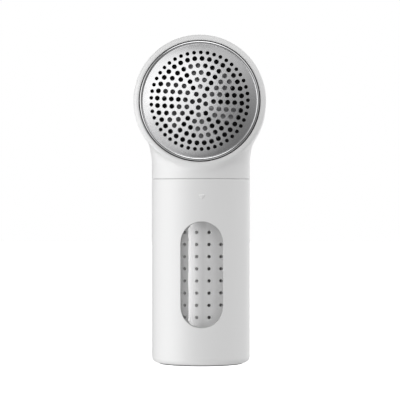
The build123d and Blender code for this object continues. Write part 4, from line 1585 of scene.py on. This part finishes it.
@dataclass(frozen=True)
class Softbox:
    """A round soft light that falls on one piece alone.

    Args:
        bearing: its direction round Z, in degrees from straight in front of the foil towards +X.
        height: its height over the horizon in degrees.
        width: how wide it looks from the head, in degrees.
        strength: its radiance.
        distance: how far it is from the head in metres; a low one hangs close, over the floor.
    """

    bearing: float
    height: float
    width: float
    strength: float
    distance: float = 1.2

    def build(self, name: str, lit: bpy.types.Collection) -> None:
        """Hangs the light.

        Args:
            name: its name.
            lit: holds the piece that it falls on, which alone casts shadows in it.
        """
        data = bpy.data.lights.new(name, "AREA")
        data.shape = "DISK"
        data.size = 2 * self.distance * math.tan(math.radians(self.width / 2))
        data.energy = self.strength * math.pi * math.pi * (data.size / 2) ** 2
        lamp = bpy.data.objects.new(name, data)
        bpy.context.scene.collection.objects.link(lamp)
        out = towards(self.bearing, self.height)
        lamp.location = Vector((0, 0, SIZES.head_z)) + out * self.distance
        lamp.rotation_euler = out.to_track_quat("Z", "Y").to_euler()
        lamp.visible_camera = False
        lamp.light_linking.receiver_collection = lit
        lamp.light_linking.blocker_collection = lit


@dataclass
class Studio:
    """Surroundings, floor, reflection card, soft lights and camera."""

    glows: tuple[Glow, ...] = (
        Glow(-69.5, 0, 35, 3.2),
        Glow(101.5, 0, 35, 0.5),
        Glow(156.5, 0, 26, 1.5),
        Glow(36.5, 35, 30, 1.0),
        Glow(76.5, 50, 40, 1.3),
        Glow(0, -80, 45, 1.2),
    )
    backdrop: float = 1.0
    foil_boxes: tuple[Softbox, ...] = (
        Softbox(-14.5, 8, 35, 2.25),
        Softbox(-18.5, -11, 26, 1.2, 0.28),
        Softbox(-2.5, -14, 24, 0.95, 0.26),
        Softbox(8.5, 18, 20, 0.8),
    )
    bezel_boxes: tuple[Softbox, ...] = (Softbox(-10, 55, 50, 3.0),)
    basket_boxes: tuple[Softbox, ...] = (Softbox(75, -10, 60, 2.1),)
    camera_distance: float = 1.056
    camera_turn: float = math.radians(1.5)
    camera_x: float = -0.5 * MM
    camera_z: float = 86.5 * MM
    camera_clip: tuple[float, float] = (0.05, 20.0)
    lens: float = 179.0
    sensor: float = 36.0
    floor_size: float = 6.0
    floor_white: float = 0.9
    floor_roughness: float = 0.9
    floor_glow: float = 0.75
    card_distance: float = 0.30
    card_low: float = -30.0 * MM
    card_high: float = 125.0 * MM
    card_edge: float = -26.7
    card_far: float = 8.3
    card_columns: int = 24
    card_fade: float = 1.6
    card_strength: float = 13.5

    def build(self) -> None:
        """Builds everything round the object."""
        self.build_world()
        self.build_floor()
        self.build_card()
        self.build_softboxes()
        self.build_camera()

    def build_world(self) -> None:
        """Soft light from all round, brightest from the left, with a plain white backdrop."""
        world = bpy.data.worlds.new("studio")
        bpy.context.scene.world = world
        graph = Graph(world)
        graph.nodes.clear()
        place = graph.add("TexCoord").outputs["Generated"]
        total, *others = [glow.level(graph, place) for glow in self.glows]
        for level in others:
            total = graph.compute("ADD", level, total)
        light = graph.add("Background", {"Color": (1, 1, 1, 1)})
        graph.join(total, light.inputs["Strength"])
        backdrop = graph.add("Background", {"Color": (1, 1, 1, 1), "Strength": self.backdrop})
        seen, mix = graph.add("LightPath"), graph.add("MixShader")
        graph.join(seen.outputs["Is Camera Ray"], mix.inputs["Fac"])
        graph.join(light.outputs[0], mix.inputs[1])
        graph.join(backdrop.outputs[0], mix.inputs[2])
        graph.join(mix.outputs[0], graph.add("OutputWorld").inputs["Surface"])

    def build_floor(self) -> None:
        """A plain pale floor that glows a little, like a light table."""
        half = self.floor_size / 2
        corners = [(-half, -half, 0), (half, -half, 0), (half, half, 0), (-half, half, 0)]
        floor = make_piece("floor", corners, [[0, 1, 2, 3]])
        material = bpy.data.materials.new("floor_white")
        shader = Graph(material).nodes["Principled BSDF"]
        shader.inputs["Base Color"].default_value = (*[self.floor_white] * 3, 1)
        shader.inputs["Roughness"].default_value = self.floor_roughness
        shader.inputs["Emission Color"].default_value = (1, 1, 1, 1)
        shader.inputs["Emission Strength"].default_value = self.floor_glow
        floor.data.materials.append(material)
        floor.visible_glossy = False
        floor.visible_diffuse = False
        floor.visible_transmission = False

    def card_mesh(self) -> bpy.types.Object:
        """The reflection card's bent sheet, with a fade from 1 at its bright edge to 0 at the other.

        Returns:
            The new sheet.
        """
        columns = self.card_columns
        points, faces, fades = [], [], []
        for k in range(columns + 1):
            turn = math.radians(self.card_edge + (self.card_far - self.card_edge) * k / columns)
            x, y = self.card_distance * math.sin(turn), -self.card_distance * math.cos(turn)
            points += [(x, y, self.card_low), (x, y, self.card_high)]
            fades += [1 - k / columns] * 2
        for k in range(columns):
            faces.append([2 * k, 2 * k + 2, 2 * k + 3, 2 * k + 1])
        card = make_piece("reflection_card", points, faces)
        card.data.attributes.new("fade", "FLOAT", "POINT").data.foreach_set("value", fades)
        return card

    def build_card(self) -> None:
        """A standing card that only shows as a reflection on the window, bright at one edge and fading."""
        card = self.card_mesh()
        material = bpy.data.materials.new("card_light")
        graph = Graph(material)
        graph.nodes.clear()
        fade = graph.add("Attribute", attribute_name="fade").outputs["Fac"]
        glow = graph.compute("MULTIPLY", graph.compute("POWER", fade, self.card_fade), self.card_strength)
        emission = graph.add("Emission")
        graph.join(glow, emission.inputs["Strength"])
        graph.join(emission.outputs[0], graph.add("OutputMaterial").inputs["Surface"])
        card.data.materials.append(material)
        card.visible_camera = False
        card.visible_diffuse = False
        card.visible_shadow = False
        card.visible_transmission = False
        card.light_linking.receiver_collection = self.only("window_pane")

    def only(self, piece: str) -> bpy.types.Collection:
        """A collection that holds one piece, for the lights that fall on it alone.

        Args:
            piece: the piece's name.

        Returns:
            The collection.
        """
        lit = bpy.data.collections.new(f"{piece}_lights")
        lit.objects.link(bpy.data.objects[piece])
        return lit

    def build_softboxes(self) -> None:
        """Soft lights that give the foil its bright fan, and show the bezel's rim and the basket."""
        for piece, boxes in (("foil_screen", self.foil_boxes), ("foil_bezel", self.bezel_boxes),
                             ("lint_basket_wall", self.basket_boxes)):
            lit = self.only(piece)
            for k, softbox in enumerate(boxes):
                softbox.build(f"{piece}_softbox_{k + 1}", lit)

    def build_camera(self) -> None:
        """The camera, level and just right of straight ahead of the foil."""
        data = bpy.data.cameras.new("camera")
        data.lens = self.lens
        data.sensor_width = self.sensor
        data.clip_start, data.clip_end = self.camera_clip
        camera = bpy.data.objects.new("camera", data)
        bpy.context.scene.collection.objects.link(camera)
        turn, across, back = self.camera_turn, self.camera_x, self.camera_distance
        camera.location = (across * math.cos(turn) + back * math.sin(turn),
                           across * math.sin(turn) - back * math.cos(turn), self.camera_z)
        camera.rotation_euler = (math.pi / 2, 0, turn)
        bpy.context.scene.camera = camera
        bpy.context.scene.view_settings.view_transform = "Standard"


def main() -> None:
    """Builds the pieces, their finishes and the studio."""
    logging.basicConfig(level=logging.INFO, format="%(message)s")
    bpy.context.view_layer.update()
    LintBin().build()
    Housing().build()
    FoilCap().build()
    Cutter().build()
    dress_carried()
    Studio().build()


if __name__ == "__main__":
    main()
